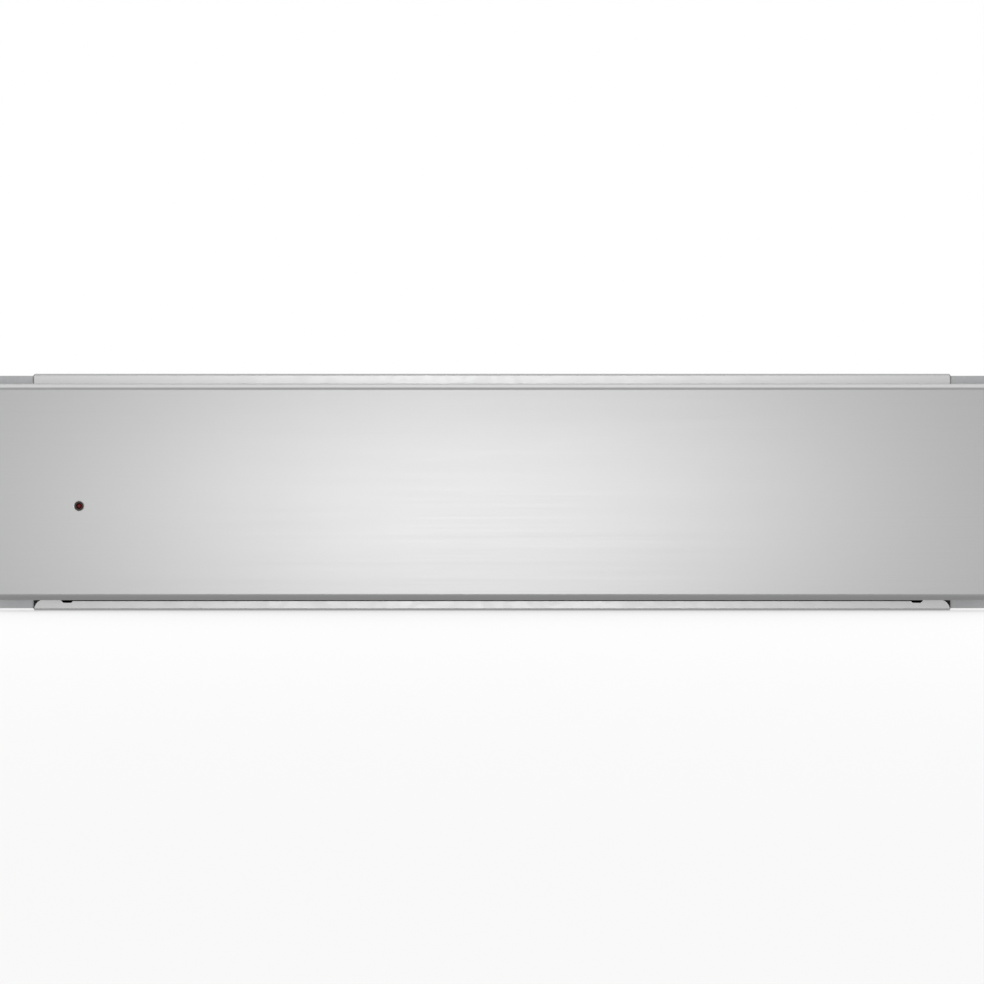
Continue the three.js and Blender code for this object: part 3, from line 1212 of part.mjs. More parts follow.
// Snap-in switch frame: a rim on the console and a box below it, open at the top for the rocker.
// Heights are from the console's top.
function switchFrame() {
  const halfX = SWITCH_WIDTH / 2;
  const halfY = SWITCH_LENGTH / 2;
  const rimTop = FIT + SWITCH_RIM;
  const wallX = SWITCH_HALF_X - SWITCH_WALL;
  const wallY = SWITCH_HALF_Y - SWITCH_WALL / 2;
  const rim = roundedRectangle(-halfX, halfX, -halfY, halfY, SWITCH_RIM_WIDTH);
  const body = join(
    extrude("z", rim, FIT, rimTop, 2),
    block(-SWITCH_HALF_X, SWITCH_HALF_X, -SWITCH_HALF_Y, SWITCH_HALF_Y, -SWITCH_DEPTH, rimTop),
  );
  const floor = -ROCKER_PIVOT_DEPTH - ROCKER_RADIUS - ROCKER_PLAY;
  const hollow = block(-wallX, wallX, -wallY, wallY, floor, rimTop + CUT);
  return piece("switch_frame", BLACK_PLASTIC, cut(body, hollow), SWITCH_X, CONTROLS_Y, CONSOLE_TOP);
}

// Rocker with a flat top and round ends about its pivot.
function rocker() {
  const shape = new THREE.Shape();
  shape.absarc(0, 0, ROCKER_RADIUS, Math.PI - ROCKER_RISE, Math.PI + ROCKER_DIP);
  shape.absarc(0, 0, ROCKER_RADIUS, -ROCKER_DIP, ROCKER_RISE);
  shape.closePath();
  const half = SWITCH_HALF_X - SWITCH_WALL - ROCKER_PLAY;
  const mesh = piece("switch_rocker", GREEN_ROCKER, extrude("x", shape, -half, half, 3));
  mesh.position.set(SWITCH_X, CONTROLS_Y, CONSOLE_TOP - ROCKER_PIVOT_DEPTH);
  mesh.rotation.x = THREE.MathUtils.degToRad(ROCKER_TILT);
  return mesh;
}

// ---------------------------------------------------------------- push latch

// The cam's outlines are drawn about the pin's place at rest, in the notch of the heart.

// Track in the cam's underside: in from the rear edge, and round both sides of the heart.
function trackOutline() {
  const lane = CAM_TRACK_WIDTH;
  const side = HEART_WIDTH / 2 + lane;
  const front = -HEART_LOBE - lane;
  const outline = new THREE.Shape();
  outline.moveTo(-lane / 2, CAM_BEHIND + CUT);
  outline.lineTo(-lane / 2, HEART_LENGTH + lane);
  outline.lineTo(-side, HEART_SHOULDER);
  outline.absarc(lane - side, front + lane, lane, Math.PI, 1.5 * Math.PI);
  outline.absarc(side - lane, front + lane, lane, 1.5 * Math.PI, 2 * Math.PI);
  outline.lineTo(side, HEART_SHOULDER);
  outline.lineTo(lane / 2, HEART_LENGTH + lane);
  outline.lineTo(lane / 2, CAM_BEHIND + CUT);
  outline.closePath();
  return outline;
}

// Island that the pin runs round, with the notch in its front that catches the pin.
function heartOutline() {
  const half = HEART_WIDTH / 2;
  const lobeX = HEART_NOTCH + HEART_LOBE;
  const outline = new THREE.Shape();
  outline.moveTo(0, HEART_LENGTH);
  outline.lineTo(-half, HEART_SHOULDER);
  outline.absarc(-lobeX, 0, HEART_LOBE, Math.PI, 2 * Math.PI);
  outline.absarc(0, 0, HEART_NOTCH, Math.PI, 0, true);
  outline.absarc(lobeX, 0, HEART_LOBE, Math.PI, 2 * Math.PI);
  outline.lineTo(half, HEART_SHOULDER);
  outline.closePath();
  return outline;
}

// Heart cam under the drawer floor.
function latchCam() {
  const half = CAM_WIDTH / 2;
  const plate = roundedRectangle(-half, half, -CAM_AHEAD, CAM_BEHIND, CAM_CORNER);
  const tracked = cut(
    extrude("z", plate, 0, CAM_THICKNESS, 2),
    extrude("z", trackOutline(), -CUT, CAM_TRACK_DEPTH, 2),
  );
  const heart = extrude("z", heartOutline(), 0, CAM_TRACK_DEPTH + CUT, 3);
  return piece("latch_cam", CAM_PLASTIC, join(tracked, heart), 0, LATCH_PIN_Y, CAM_Z);
}

// Headed post that the arm swings on, standing on the base plate.
function latchPost() {
  const neckTop = LATCH_LIFT + LATCH_ARM_THICKNESS + FIT;
  const head = LATCH_PIVOT + LATCH_HEAD;
  const profile = [
    [0, 0],
    [LATCH_FOOT, 0],
    [LATCH_FOOT, LATCH_LIFT / 2],
    [head, LATCH_LIFT - FIT],
    [LATCH_PIVOT, LATCH_LIFT - FIT],
    [LATCH_PIVOT, neckTop],
    [head, neckTop],
    [head, neckTop + LATCH_HEAD],
    [0, neckTop + LATCH_HEAD],
  ];
  return piece("latch_post", RUNNER_STEEL, revolve("z", profile), 0, LATCH_PIVOT_Y, SHEET + FIT);
}

// Arm with an eye on the post and an upright pin that ends just under the cam.
function latchArm() {
  const top = LATCH_ARM_Z + LATCH_ARM_THICKNESS;
  const outline = new THREE.Shape();
  outline.absarc(0, 0, LATCH_EYE, 0, Math.PI);
  outline.absarc(0, -LATCH_ARM, 2 * LATCH_PIN, Math.PI, 2 * Math.PI);
  outline.closePath();
  const arm = extrude("z", outline, LATCH_ARM_Z, top, 6);
  const eye = bar("z", 0, 0, LATCH_PIVOT + FIT, LATCH_ARM_Z - CUT, top + CUT);
  const pin = bar("z", 0, -LATCH_ARM, LATCH_PIN, top - LATCH_ARM_THICKNESS / 2, CAM_Z - FIT, 12);
  return piece("latch_arm", RUNNER_STEEL, join(cut(arm, eye), pin), 0, LATCH_PIVOT_Y, 0);
}

// ---------------------------------------------------------------- assembly

// Pieces that come in pairs are made right-handed, and mirrored for the left.
function pair(build) {
  const mirrored = group(build("left"));
  mirrored.scale.x = -1;
  return group(build("right"), mirrored);
}

function housingSide(side) {
  return group(
    sideWall(`${side}_side_wall`),
    bumper(`${side}_upper_bumper`, MIDDLE_Z + BUMPER_RISE),
    bumper(`${side}_lower_bumper`, MIDDLE_Z - BUMPER_RISE),
  );
}

const housing = group(basePlate(), topCover(), rearWall(), pair(housingSide), cableGland(), terminalBox());

const front = group(frontPanel(), frontBacking(), lampBezel(), lampLens(), lampHolder());

const box = group(
  boxFloor(),
  boxEndWall("drawer_front_wall", BOX_FRONT_Y, 1, DRAWER_TOP),
  boxEndWall("drawer_rear_wall", BOX_REAR_Y, -1, PLENUM_TOP - FIT),
  airBaffle(),
  pair((side) => boxSideWall(`${side}_drawer_wall`)),
);

const heatedFloor = group(
  floorLayer("insulation_board", FIBRE_BOARD, BOARD_Z, BOARD_THICKNESS, BOARD_MARGIN),
  floorLayer("heating_pad", HEATER_FOIL, PAD_Z, PAD_THICKNESS, PAD_MARGIN),
  floorLayer("glass_plate", DARK_GLASS, GLASS_Z, GLASS_THICKNESS, GLASS_MARGIN),
  floorLayer("anti_slip_mat", SILICONE, MAT_Z, MAT_THICKNESS, MAT_MARGIN),
);

const motor = group(rotor(), motorPlate(), motorStack(), motorCoil(), bearingBridge());

const fanHeater = group(impeller(), heaterRing(), motor);

const controls = group(controlConsole(), thermostat(), spindle(), knob(), switchFrame(), rocker());

const latch = group(latchCam(), latchPost(), latchArm());

export default group(housing, pair(runner), front, box, heatedFloor, fanHeater, controls, latch);
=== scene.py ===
"""Built-in warming drawer with a plain brushed-stainless front, closed, seen square on.

Metres, +Z up, in the same frame as the solids. The front faces -Y."""

import json
import math

import bmesh
import bpy
import numpy as np
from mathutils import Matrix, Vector


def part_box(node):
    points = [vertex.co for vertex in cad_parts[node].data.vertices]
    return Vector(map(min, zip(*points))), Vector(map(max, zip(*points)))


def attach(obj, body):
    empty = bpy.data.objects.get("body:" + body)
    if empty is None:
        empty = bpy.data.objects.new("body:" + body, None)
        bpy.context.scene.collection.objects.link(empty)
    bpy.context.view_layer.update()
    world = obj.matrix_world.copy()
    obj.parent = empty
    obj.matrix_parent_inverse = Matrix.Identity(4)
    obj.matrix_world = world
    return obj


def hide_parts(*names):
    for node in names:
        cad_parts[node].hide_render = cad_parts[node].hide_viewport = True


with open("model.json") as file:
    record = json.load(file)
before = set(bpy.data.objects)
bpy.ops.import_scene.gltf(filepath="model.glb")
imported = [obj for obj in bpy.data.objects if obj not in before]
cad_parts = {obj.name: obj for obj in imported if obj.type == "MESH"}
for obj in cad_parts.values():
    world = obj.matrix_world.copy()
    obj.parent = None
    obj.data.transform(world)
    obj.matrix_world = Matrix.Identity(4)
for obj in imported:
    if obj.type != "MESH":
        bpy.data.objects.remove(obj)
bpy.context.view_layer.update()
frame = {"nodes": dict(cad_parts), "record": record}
nodes = frame["nodes"]

MM = 0.001
TURN = 2 * math.pi
QUARTER = math.pi / 2
TINY = 1e-9  # in place of nothing, where something is divided by it
WELD = 1e-6  # points nearer than this are one

# ---------------------------------------------------------------- places, from the solids


def low(node):
    """The corner of a node's box that is lowest in x, y and z."""
    return np.array(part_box(node)[0])


def high(node):
    """The corner that is highest."""
    return np.array(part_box(node)[1])


def middle(node):
    return (low(node) + high(node)) / 2


PANEL_LOW = low("front_panel")
PANEL_HIGH = high("front_panel")
FACE_Y = PANEL_LOW[1]
LAMP = middle("indicator_bezel")
LAMP_FACE = low("indicator_bezel")[1]

# ---------------------------------------------------------------- meshes


def ring_faces(rings, points):
    """Quads between neighbouring points of closed rings that are stored one after the other."""
    i, j = np.meshgrid(np.arange(rings - 1), np.arange(points), indexing="ij")
    right = (j + 1) % points
    corners = [i * points + j, i * points + right, (i + 1) * points + right, (i + 1) * points + j]
    return np.stack(corners, axis=-1).reshape(-1, 4).tolist()


def closed_faces(rings, points):
    """The same, with a flat fan over the first and the last ring."""
    last = (rings - 1) * points
    return [*ring_faces(rings, points), list(range(points)), list(range(last, last + points))]


def placed(a, b, along, axis):
    """Points from their measures along an axis and along the other two, a and b, in the order
    x, y, z."""
    ways = [a, b]
    ways.insert("xyz".index(axis), along)
    return np.stack(ways, axis=-1)


def weld(mesh):
    """Welds a mesh's doubles and turns its faces outwards."""
    work = bmesh.new()
    work.from_mesh(mesh)
    bmesh.ops.remove_doubles(work, verts=work.verts, dist=WELD)
    bmesh.ops.recalc_face_normals(work, faces=work.faces)
    work.to_mesh(mesh)
    work.free()


def add_piece(name, parts, material, body, replaces=(), smooth=35):
    """A piece from one or more (points, faces) parts, welded, facing outwards, that rides on a
    body. Edges up to the smooth angle, in degrees, are shaded round."""
    points, faces, start = [], [], 0
    for part_points, part_faces in parts:
        flat = np.asarray(part_points, dtype=float).reshape(-1, 3)
        points.append(flat)
        faces.extend([[int(k) + start for k in face] for face in part_faces])
        start += len(flat)
    mesh = bpy.data.meshes.new(name)
    mesh.from_pydata(np.concatenate(points), [], faces)
    mesh.validate()
    weld(mesh)
    mesh.polygons.foreach_set("use_smooth", np.ones(len(mesh.polygons), dtype=bool))
    mesh.set_sharp_from_angle(angle=math.radians(smooth))
    mesh.materials.append(material)
    piece = bpy.data.objects.new(name, mesh)
    bpy.context.scene.collection.objects.link(piece)
    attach(piece, body)
    if replaces:
        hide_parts(*replaces)
    return piece


def revolved(profile, centre, axis="y", sides=48, wave=None):
    """A profile of (radius, height) turned about an axis: point (u, v) is the profile's radius
    at v, carried round by angle u. wave(angle, row) scales the radius, for ribs and flutes."""
    profile = np.asarray(profile, dtype=float)
    angle = np.linspace(0, TURN, sides, endpoint=False)[None, :]
    radius = profile[:, 0:1] * np.ones_like(angle)
    if wave is not None:
        radius = radius * wave(angle, np.arange(len(profile))[:, None])
    height = profile[:, 1:2] * np.ones_like(angle)
    points = placed(radius * np.cos(angle), radius * np.sin(angle), height, axis)
    return points + np.asarray(centre), ring_faces(len(profile), sides)


def turned_solid(profile, centre, axis="y", sides=48, wave=None):
    """A turned profile with both ends closed."""
    points, _ = revolved(profile, centre, axis, sides, wave)
    return points, closed_faces(len(profile), sides)


def waved(depths, waves, phase):
    """Ribs or flutes for a turned profile: at each row the radius is cut back by up to that
    row's depth, by a cosine of the angle times the number of waves. The phase is 0.5 where the
    round starts in a hollow, and -0.5 where it starts on a crest."""

    def scale(angle, row):
        return 1 - np.asarray(depths)[row] * (0.5 + phase * np.cos(waves * angle))

    return scale


def quadratic(start, corner, end, share):
    """Points of a quadratic curve between two ends that is pulled towards a corner."""
    return (1 - share) ** 2 * start + 2 * share * (1 - share) * corner + share**2 * end


def softened(profile, radius, steps=4):
    """A profile whose inner corners are replaced by arcs: each corner is cut back by the
    radius, or by just under half of the shorter side, and a quadratic curve runs between the
    cuts."""
    most = 0.45  # of a side
    profile = [np.asarray(point, dtype=float) for point in profile]
    made = [profile[0]]
    share = np.linspace(0, 1, steps + 1)[:, None]
    for before, corner, after in zip(profile, profile[1:], profile[2:]):
        back, ahead = before - corner, after - corner
        reach = min(radius, most * np.linalg.norm(back), most * np.linalg.norm(ahead))
        start = corner + back / np.linalg.norm(back) * reach
        end = corner + ahead / np.linalg.norm(ahead) * reach
        made.extend(quadratic(start, corner, end, share))
    made.append(profile[-1])
    return np.array(made)


def slab(low_corner, high_corner, corner, edge):
    """A flat plate: rings of a rounded rectangle, set in along quarter circles at its top and
    bottom edges, and closed by a fan at each face's middle."""
    corner_steps, edge_steps = 6, 3
    x0, y0, z0 = low_corner
    x1, y1, z1 = high_corner
    quarter = np.linspace(0, QUARTER, edge_steps + 1)
    inset = edge * (1 - np.sin(quarter))
    rise = edge * (1 - np.cos(quarter))
    insets = np.concatenate([[corner], inset, inset[::-1], [corner]])
    heights = np.concatenate([[z0], z0 + rise, z1 - rise[::-1], [z1]])
    around = np.concatenate([np.linspace(q, q + 1, corner_steps + 1) for q in range(4)]) * QUARTER
    side_x = np.repeat([1, -1, -1, 1], corner_steps + 1)
    side_y = np.repeat([1, 1, -1, -1], corner_steps + 1)
    radius = corner - insets[:, None]
    x = (x0 + x1) / 2 + side_x * ((x1 - x0) / 2 - corner) + radius * np.cos(around)
    y = (y0 + y1) / 2 + side_y * ((y1 - y0) / 2 - corner) + radius * np.sin(around)
    points = np.stack([x, y, heights[:, None] * np.ones_like(x)], axis=-1)
    return points, closed_faces(len(insets), len(around))


def tube(path, radius, sides=16):
    """A round tube along a path: at each point a circle in the plane square to the path, its
    frame carried along from the one before, and a fan at each end."""
    aside = [0.3, 0.2, 0.9]  # off the path's first direction
    path = np.asarray(path)
    along = np.gradient(path, axis=0)
    along /= np.linalg.norm(along, axis=1)[:, None]
    normal = np.cross(along[0], aside)
    normals = []
    for way in along:
        normal = normal - way * np.dot(normal, way)
        normal /= np.linalg.norm(normal)
        normals.append(normal)
    first = np.array(normals)[:, None, :]
    second = np.cross(along, normals)[:, None, :]
    angle = np.linspace(0, TURN, sides, endpoint=False)[None, :, None]
    points = path[:, None, :] + radius * (np.cos(angle) * first + np.sin(angle) * second)
    return points, closed_faces(len(path), sides)


def ball(centre, radius, rows=9, sides=14):
    """A sphere: point (u, v) lies at angle u round the axis and v from one pole to the other."""
    pole = 0.08  # radians from each pole to the first ring, under a flat fan
    polar = np.linspace(pole, math.pi - pole, rows)
    profile = np.stack([radius * np.sin(polar), radius * np.cos(polar)], axis=-1)
    return turned_solid(profile, centre, sides=sides)


def section_sheet(section, start, end, axis):
    """A closed section of (u, v) points carried straight along an axis, with both ends closed."""
    section = np.asarray(section, dtype=float)
    count = len(section)
    both = np.ones((2, 1))
    ends = np.array([start, end])[:, None] * np.ones((2, count))
    points = placed(section[None, :, 0] * both, section[None, :, 1] * both, ends, axis)
    return points, closed_faces(2, count)


# distances of a head's rings from its middle, in shares of its radius
HEAD_SHARES = [0.001, 0.1, 0.2, 0.3, 0.4, 0.5, 0.6, 0.72, 0.84, 0.93, 0.98, 1.0, 1.0]
HEAD_SIDES = 32
ARM_HALF, ARM_REACH = 0.11, 0.55  # the recess's arms, in shares of the radius
ARM_CRISP, END_CRISP = 60, 40  # how sharply their sides and ends drop
RECESS = 0.75  # its depth, in shares of the head's height
SCREW_SINK = 0.1 * MM


def screw_head(centre, axis, outwards, radius, rise):
    """A pan head with a cross recess: over (distance from the middle, angle) its height is a
    flattened dome less a pit where the point lies within the cross's arms."""
    share = np.array(HEAD_SHARES)[:, None]
    angle = np.linspace(0, TURN, HEAD_SIDES, endpoint=False)[None, :]
    u, v = share * np.cos(angle), share * np.sin(angle)
    near = np.minimum(np.abs(u), np.abs(v))
    far = np.maximum(np.abs(u), np.abs(v))
    outside_arm = np.exp((near - ARM_HALF) * ARM_CRISP)
    past_end = np.exp((far - ARM_REACH) * END_CRISP)
    within = 1 / (1 + outside_arm) / (1 + past_end)
    height = rise * (1 - share**5) - within * rise * RECESS
    height[-1] = -SCREW_SINK
    points = placed(u * radius, v * radius, height * outwards, axis) + np.asarray(centre)
    return points, closed_faces(len(share), HEAD_SIDES)


# ---------------------------------------------------------------- effects


def add_node(tree, kind, inputs=None, **settings):
    """A node with its settings, and its inputs linked to sockets or set to values."""
    made = tree.nodes.new(kind)
    for key, value in settings.items():
        setattr(made, key, value)
    for key, value in (inputs or {}).items():
        if isinstance(value, bpy.types.NodeSocket):
            tree.links.new(value, made.inputs[key])
        else:
            made.inputs[key].default_value = value
    return made


def number(tree, a, operation, b=0.0, c=0.0):
    """The result of a Math node; c is what MULTIPLY_ADD adds."""
    return add_node(tree, "ShaderNodeMath", {0: a, 1: b, 2: c}, operation=operation).outputs[0]


def vector(tree, a, operation, b=(0, 0, 0)):
    """A Vector Math node."""
    return add_node(tree, "ShaderNodeVectorMath", {0: a, 1: b}, operation=operation)


def noise(tree, where, scale, detail, roughness=0.5):
    """Cloudy noise of 0 to 1, about scale cells to the metre."""
    wants = {"Vector": where, "Scale": scale, "Detail": detail, "Roughness": roughness}
    return add_node(tree, "ShaderNodeTexNoise", wants).outputs[0]


def effect(name, inputs, outputs):
    """An empty shader node group: its inputs are {name: (kind, value)}, its outputs
    {name: kind}."""
    tree = bpy.data.node_groups.new(name, "ShaderNodeTree")
    for label, (kind, value) in inputs.items():
        socket = tree.interface.new_socket(label, in_out="INPUT", socket_type="NodeSocket" + kind)
        if value is not None:
            socket.default_value = value
    for label, kind in outputs.items():
        tree.interface.new_socket(label, in_out="OUTPUT", socket_type="NodeSocket" + kind)
    return tree, add_node(tree, "NodeGroupInput").outputs, add_node(tree, "NodeGroupOutput").inputs


SURFACE = {
    "Vector": ("Vector", None),
    "Color": ("Color", (0.5, 0.5, 0.5, 1)),
    "Roughness": ("Float", 0.5),
}
RESULT = {"Color": "Color", "Roughness": "Float", "Height": "Float"}
MIX_FACTOR, MIX_FIRST, MIX_SECOND, MIX_COLOR = 0, 6, 7, 2  # a colour mix's inputs, and its output


def shaded(tree, color, factor):
    """A colour multiplied by a factor that varies over the surface."""
    wants = {MIX_FACTOR: 1.0, MIX_FIRST: color, MIX_SECOND: factor}
    made = add_node(tree, "ShaderNodeMix", wants, data_type="RGBA", blend_type="MULTIPLY")
    return made.outputs[MIX_COLOR]


def centred(tree, value, amount):
    """(value - 0.5) * amount."""
    return number(tree, number(tree, value, "SUBTRACT", 0.5), "MULTIPLY", amount)


def vary(tree, given, result, pattern, dulling, contrast="Contrast", height=None):
    """Lets a pattern of 0 to 1 vary a finish: the colour is multiplied by 1 + (pattern - 0.5) *
    contrast, the roughness grows by (pattern - 0.5) * dulling, and the pattern is the height,
    if none is given."""
    light = number(tree, centred(tree, pattern, given[contrast]), "ADD", 1.0)
    dull = number(tree, centred(tree, pattern, dulling), "ADD", given["Roughness"])
    tree.links.new(shaded(tree, given["Color"], light), result["Color"])
    tree.links.new(dull, result["Roughness"])
    tree.links.new(height or pattern, result["Height"])
    return tree


LINE_SHARE = 0.7  # of the brushing's lines in its pattern; the rest is its bands
BAND_STRETCH = (0.3, 0.1, 0.1)  # the bands' cells to the metre, in shares of the lines'


def brushing_effect():
    """Fine lines of a brushed or drawn sheet: two layers of noise drawn out along the grain,
    the finer one for the lines and the coarser one for the bands that the abrasive leaves."""
    inputs = {**SURFACE, "Grain": ("Vector", (10, 2500, 2500)), "Contrast": ("Float", 0.06)}
    tree, given, result = effect("brushing", inputs, RESULT)
    grain = given["Grain"]
    coarse = vector(tree, grain, "MULTIPLY", BAND_STRETCH).outputs[0]
    layers = []
    for stretch, share in ((grain, LINE_SHARE), (coarse, 1 - LINE_SHARE)):
        where = vector(tree, given["Vector"], "MULTIPLY", stretch).outputs[0]
        lines = noise(tree, where, 1.0, detail=3.0, roughness=0.55)
        layers.append(number(tree, lines, "MULTIPLY", share))
    return vary(tree, given, result, number(tree, layers[0], "ADD", layers[1]), dulling=0.05)


def handling_effect():
    """Faint cloudy marks of wiping and handling, a few centimetres across, that dull the gloss
    twice as much as they change the tone."""
    inputs = {**SURFACE, "Size": ("Float", 14.0), "Amount": ("Float", 0.06)}
    tree, given, result = effect("handling", inputs, RESULT)
    cloud = noise(tree, given["Vector"], given["Size"], detail=5.0, roughness=0.6)
    dulling = number(tree, given["Amount"], "MULTIPLY", 2.0)
    return vary(tree, given, result, cloud, dulling, contrast="Amount")


def spangle_effect():
    """Crystals of a zinc coating: each cell of a Voronoi pattern has its own tone and gloss,
    and a fine noise breaks its edges."""
    inputs = {**SURFACE, "Size": ("Float", 260.0), "Contrast": ("Float", 0.03)}
    tree, given, result = effect("zinc_spangle", inputs, RESULT)
    wants = {"Vector": given["Vector"], "Scale": given["Size"]}
    cells = add_node(tree, "ShaderNodeTexVoronoi", wants).outputs["Color"]
    tone = add_node(tree, "ShaderNodeSeparateColor", {"Color": cells}).outputs[0]
    fine = noise(tree, given["Vector"], 1800.0, detail=2.0)
    return vary(tree, given, result, tone, dulling=0.03, height=fine)


def mould_effect():
    """Eroded texture of moulded plastic and rubber: fine noise in tone, gloss and height."""
    inputs = {**SURFACE, "Size": ("Float", 2600.0), "Contrast": ("Float", 0.25)}
    tree, given, result = effect("mould_texture", inputs, RESULT)
    fine = noise(tree, given["Vector"], given["Size"], detail=3.0)
    return vary(tree, given, result, fine, dulling=0.2)


def lines_effect():
    """Even lines across one direction, as in a stack of laminations or a winding: a sine wave."""
    inputs = {**SURFACE, "Spacing": ("Vector", (0, 1200, 0)), "Contrast": ("Float", 0.3)}
    tree, given, result = effect("lines", inputs, RESULT)
    along = vector(tree, given["Vector"], "DOT_PRODUCT", given["Spacing"]).outputs["Value"]
    half = number(tree, number(tree, along, "SINE"), "MULTIPLY_ADD", 0.5, 0.5)
    return vary(tree, given, result, half, dulling=0.1)


def smooth_step(tree, value, start, end, low_value, high_value):
    """Runs from one value to another with soft ends while a figure goes from start to end."""
    wants = {0: value, 1: start, 2: end, 3: low_value, 4: high_value}
    return add_node(tree, "ShaderNodeMapRange", wants, interpolation_type="SMOOTHSTEP").outputs[0]


PIP_CROWN = 0.75  # of a pip's radius that is at its full height


def pips_effect():
    """Raised round pips on a square pitch: distance from the middle of each cell, as a smooth
    step."""
    inputs = {"Vector": ("Vector", None), "Pitch": ("Float", 160.0), "Radius": ("Float", 0.3)}
    tree, given, result = effect("pips", inputs, {"Height": "Float"})
    wants = {0: given["Vector"], "Scale": given["Pitch"]}
    scaled = add_node(tree, "ShaderNodeVectorMath", wants, operation="SCALE").outputs[0]
    cell = vector(tree, scaled, "FRACTION").outputs[0]
    offset = vector(tree, cell, "SUBTRACT", (0.5, 0.5, 0.5)).outputs[0]
    flat = vector(tree, offset, "MULTIPLY", (1, 1, 0)).outputs[0]
    distance = vector(tree, flat, "LENGTH").outputs["Value"]
    crown = number(tree, given["Radius"], "MULTIPLY", PIP_CROWN)
    tree.links.new(smooth_step(tree, distance, given["Radius"], crown, 0.0, 1.0), result["Height"])
    return tree


FLAT, BENT = 0.97, 0.78  # the normal's largest part on a flat sheet and in the middle of a bend
PAINTED_BEND_SHADE = 0.62  # painted shade: the colour of a bend, in shares of the flat sheet's
END_SHADE_LOSS = 0.93  # painted shade: the share of its colour that a cut end facing forwards loses
DOWNWARDS, FORWARDS = -0.1, -0.8  # a face looks that way if its normal's z or y is less


def painted_shade_on_sheet_edges_effect():
    """Painted shade on a folded sheet's colour: darker along its upper bends, where the normal
    leaves the three main directions, and nearly black on the cut ends that face forwards just
    behind the housing's front, in the gaps there, which lie in shade."""
    inputs = {**SURFACE, "From": ("Float", -0.245), "To": ("Float", -0.24)}
    tree, given, result = effect("painted_shade_on_sheet_edges", inputs, RESULT)
    normal = add_node(tree, "ShaderNodeTexCoord").outputs["Normal"]
    steep = vector(tree, normal, "ABSOLUTE").outputs[0]
    part = add_node(tree, "ShaderNodeSeparateXYZ", {0: steep}).outputs
    largest = number(tree, number(tree, part[0], "MAXIMUM", part[1]), "MAXIMUM", part[2])
    # painted shade: the colour darkens towards the middle of a bend
    bend_shade = smooth_step(tree, largest, FLAT, BENT, 1.0, PAINTED_BEND_SHADE)
    facing = add_node(tree, "ShaderNodeSeparateXYZ", {0: normal}).outputs
    # downward bends keep their colour, so the painted shade lies only on the upper bends
    bend = number(tree, bend_shade, "MAXIMUM", number(tree, facing[2], "LESS_THAN", DOWNWARDS))
    depth = add_node(tree, "ShaderNodeSeparateXYZ", {0: given["Vector"]}).outputs[1]
    behind = number(tree, depth, "GREATER_THAN", given["From"])
    before = number(tree, depth, "LESS_THAN", given["To"])
    faces = number(tree, facing[1], "LESS_THAN", FORWARDS)
    # painted shade: cut ends that face forwards between the two depths
    end_shade_mask = number(tree, number(tree, behind, "MULTIPLY", before), "MULTIPLY", faces)
    # light is the colour's factor from both painted shades, and also the height
    light = number(tree, bend, "MULTIPLY", number(tree, end_shade_mask, "MULTIPLY_ADD", -END_SHADE_LOSS, 1.0))
    tree.links.new(shaded(tree, given["Color"], light), result["Color"])
    tree.links.new(given["Roughness"], result["Roughness"])
    tree.links.new(light, result["Height"])
    return tree


BRUSHING = brushing_effect()
HANDLING = handling_effect()
SPANGLE = spangle_effect()
MOULD = mould_effect()
PIPS = pips_effect()
LINES = lines_effect()
EDGE_SHADE = painted_shade_on_sheet_edges_effect()

# ---------------------------------------------------------------- finishes


def bump(tree, shader, strength, depth, height):
    """Relief on a finish: the height's full range is as deep as the depth, in metres."""
    wants = {"Strength": strength, "Distance": depth, "Height": height}
    raised = add_node(tree, "ShaderNodeBump", wants)
    tree.links.new(raised.outputs["Normal"], shader.inputs["Normal"])


def material(name, color, roughness, layers, relief=None, metallic=0.0, **constants):
    """A finish: the colour and roughness pass through each effect layer in turn, and the last
    layer's height gives the relief of (strength, depth)."""
    made = bpy.data.materials.new(name)
    made.use_nodes = True
    tree = made.node_tree
    shader = tree.nodes["Principled BSDF"]
    shader.inputs["Metallic"].default_value = metallic
    for label, value in constants.items():
        shader.inputs[label.replace("_", " ")].default_value = value
    where = add_node(tree, "ShaderNodeTexCoord").outputs["Object"]
    tone, gloss, height = (*color, 1.0), roughness, None
    for group, values in layers:
        wants = {"Vector": where, "Color": tone, "Roughness": gloss, **values}
        layer = add_node(tree, "ShaderNodeGroup", wants, node_tree=group)
        tone, gloss, height = (layer.outputs[key] for key in ("Color", "Roughness", "Height"))
    tree.links.new(tone, shader.inputs["Base Color"])
    tree.links.new(gloss, shader.inputs["Roughness"])
    if relief:
        bump(tree, shader, *relief, height)
    return made


def metal(name, color, roughness, layers, relief=None, **constants):
    """A finish of bare or plated metal."""
    return material(name, color, roughness, layers, relief, 1.0, **constants)


LIP_BACK = float(low("top_cover")[1]) + 1.0 * MM
END_SHADE_DEPTHS = {"From": LIP_BACK + 2 * MM, "To": LIP_BACK + 8 * MM}  # depths that the cut ends with painted shade lie between
ALONG_X = (9, 2600, 2600)  # cells to the metre of a sheet brushed along x
ALONG_Y = (2600, 9, 2600)

panel_steel = metal(
    "brushed_stainless",
    (0.32, 0.32, 0.32),
    0.3,
    [(HANDLING, {"Size": 9.0, "Amount": 0.005}), (BRUSHING, {"Grain": ALONG_X, "Contrast": 0.08})],
    (0.02, 0.04 * MM),
    Anisotropic=0.5,
)
drawer_steel = metal(
    "satin_stainless",
    (0.45, 0.45, 0.455),
    0.34,
    [(HANDLING, {"Amount": 0.05}), (BRUSHING, {"Grain": ALONG_Y, "Contrast": 0.07})],
    (0.1, 0.04 * MM),
)
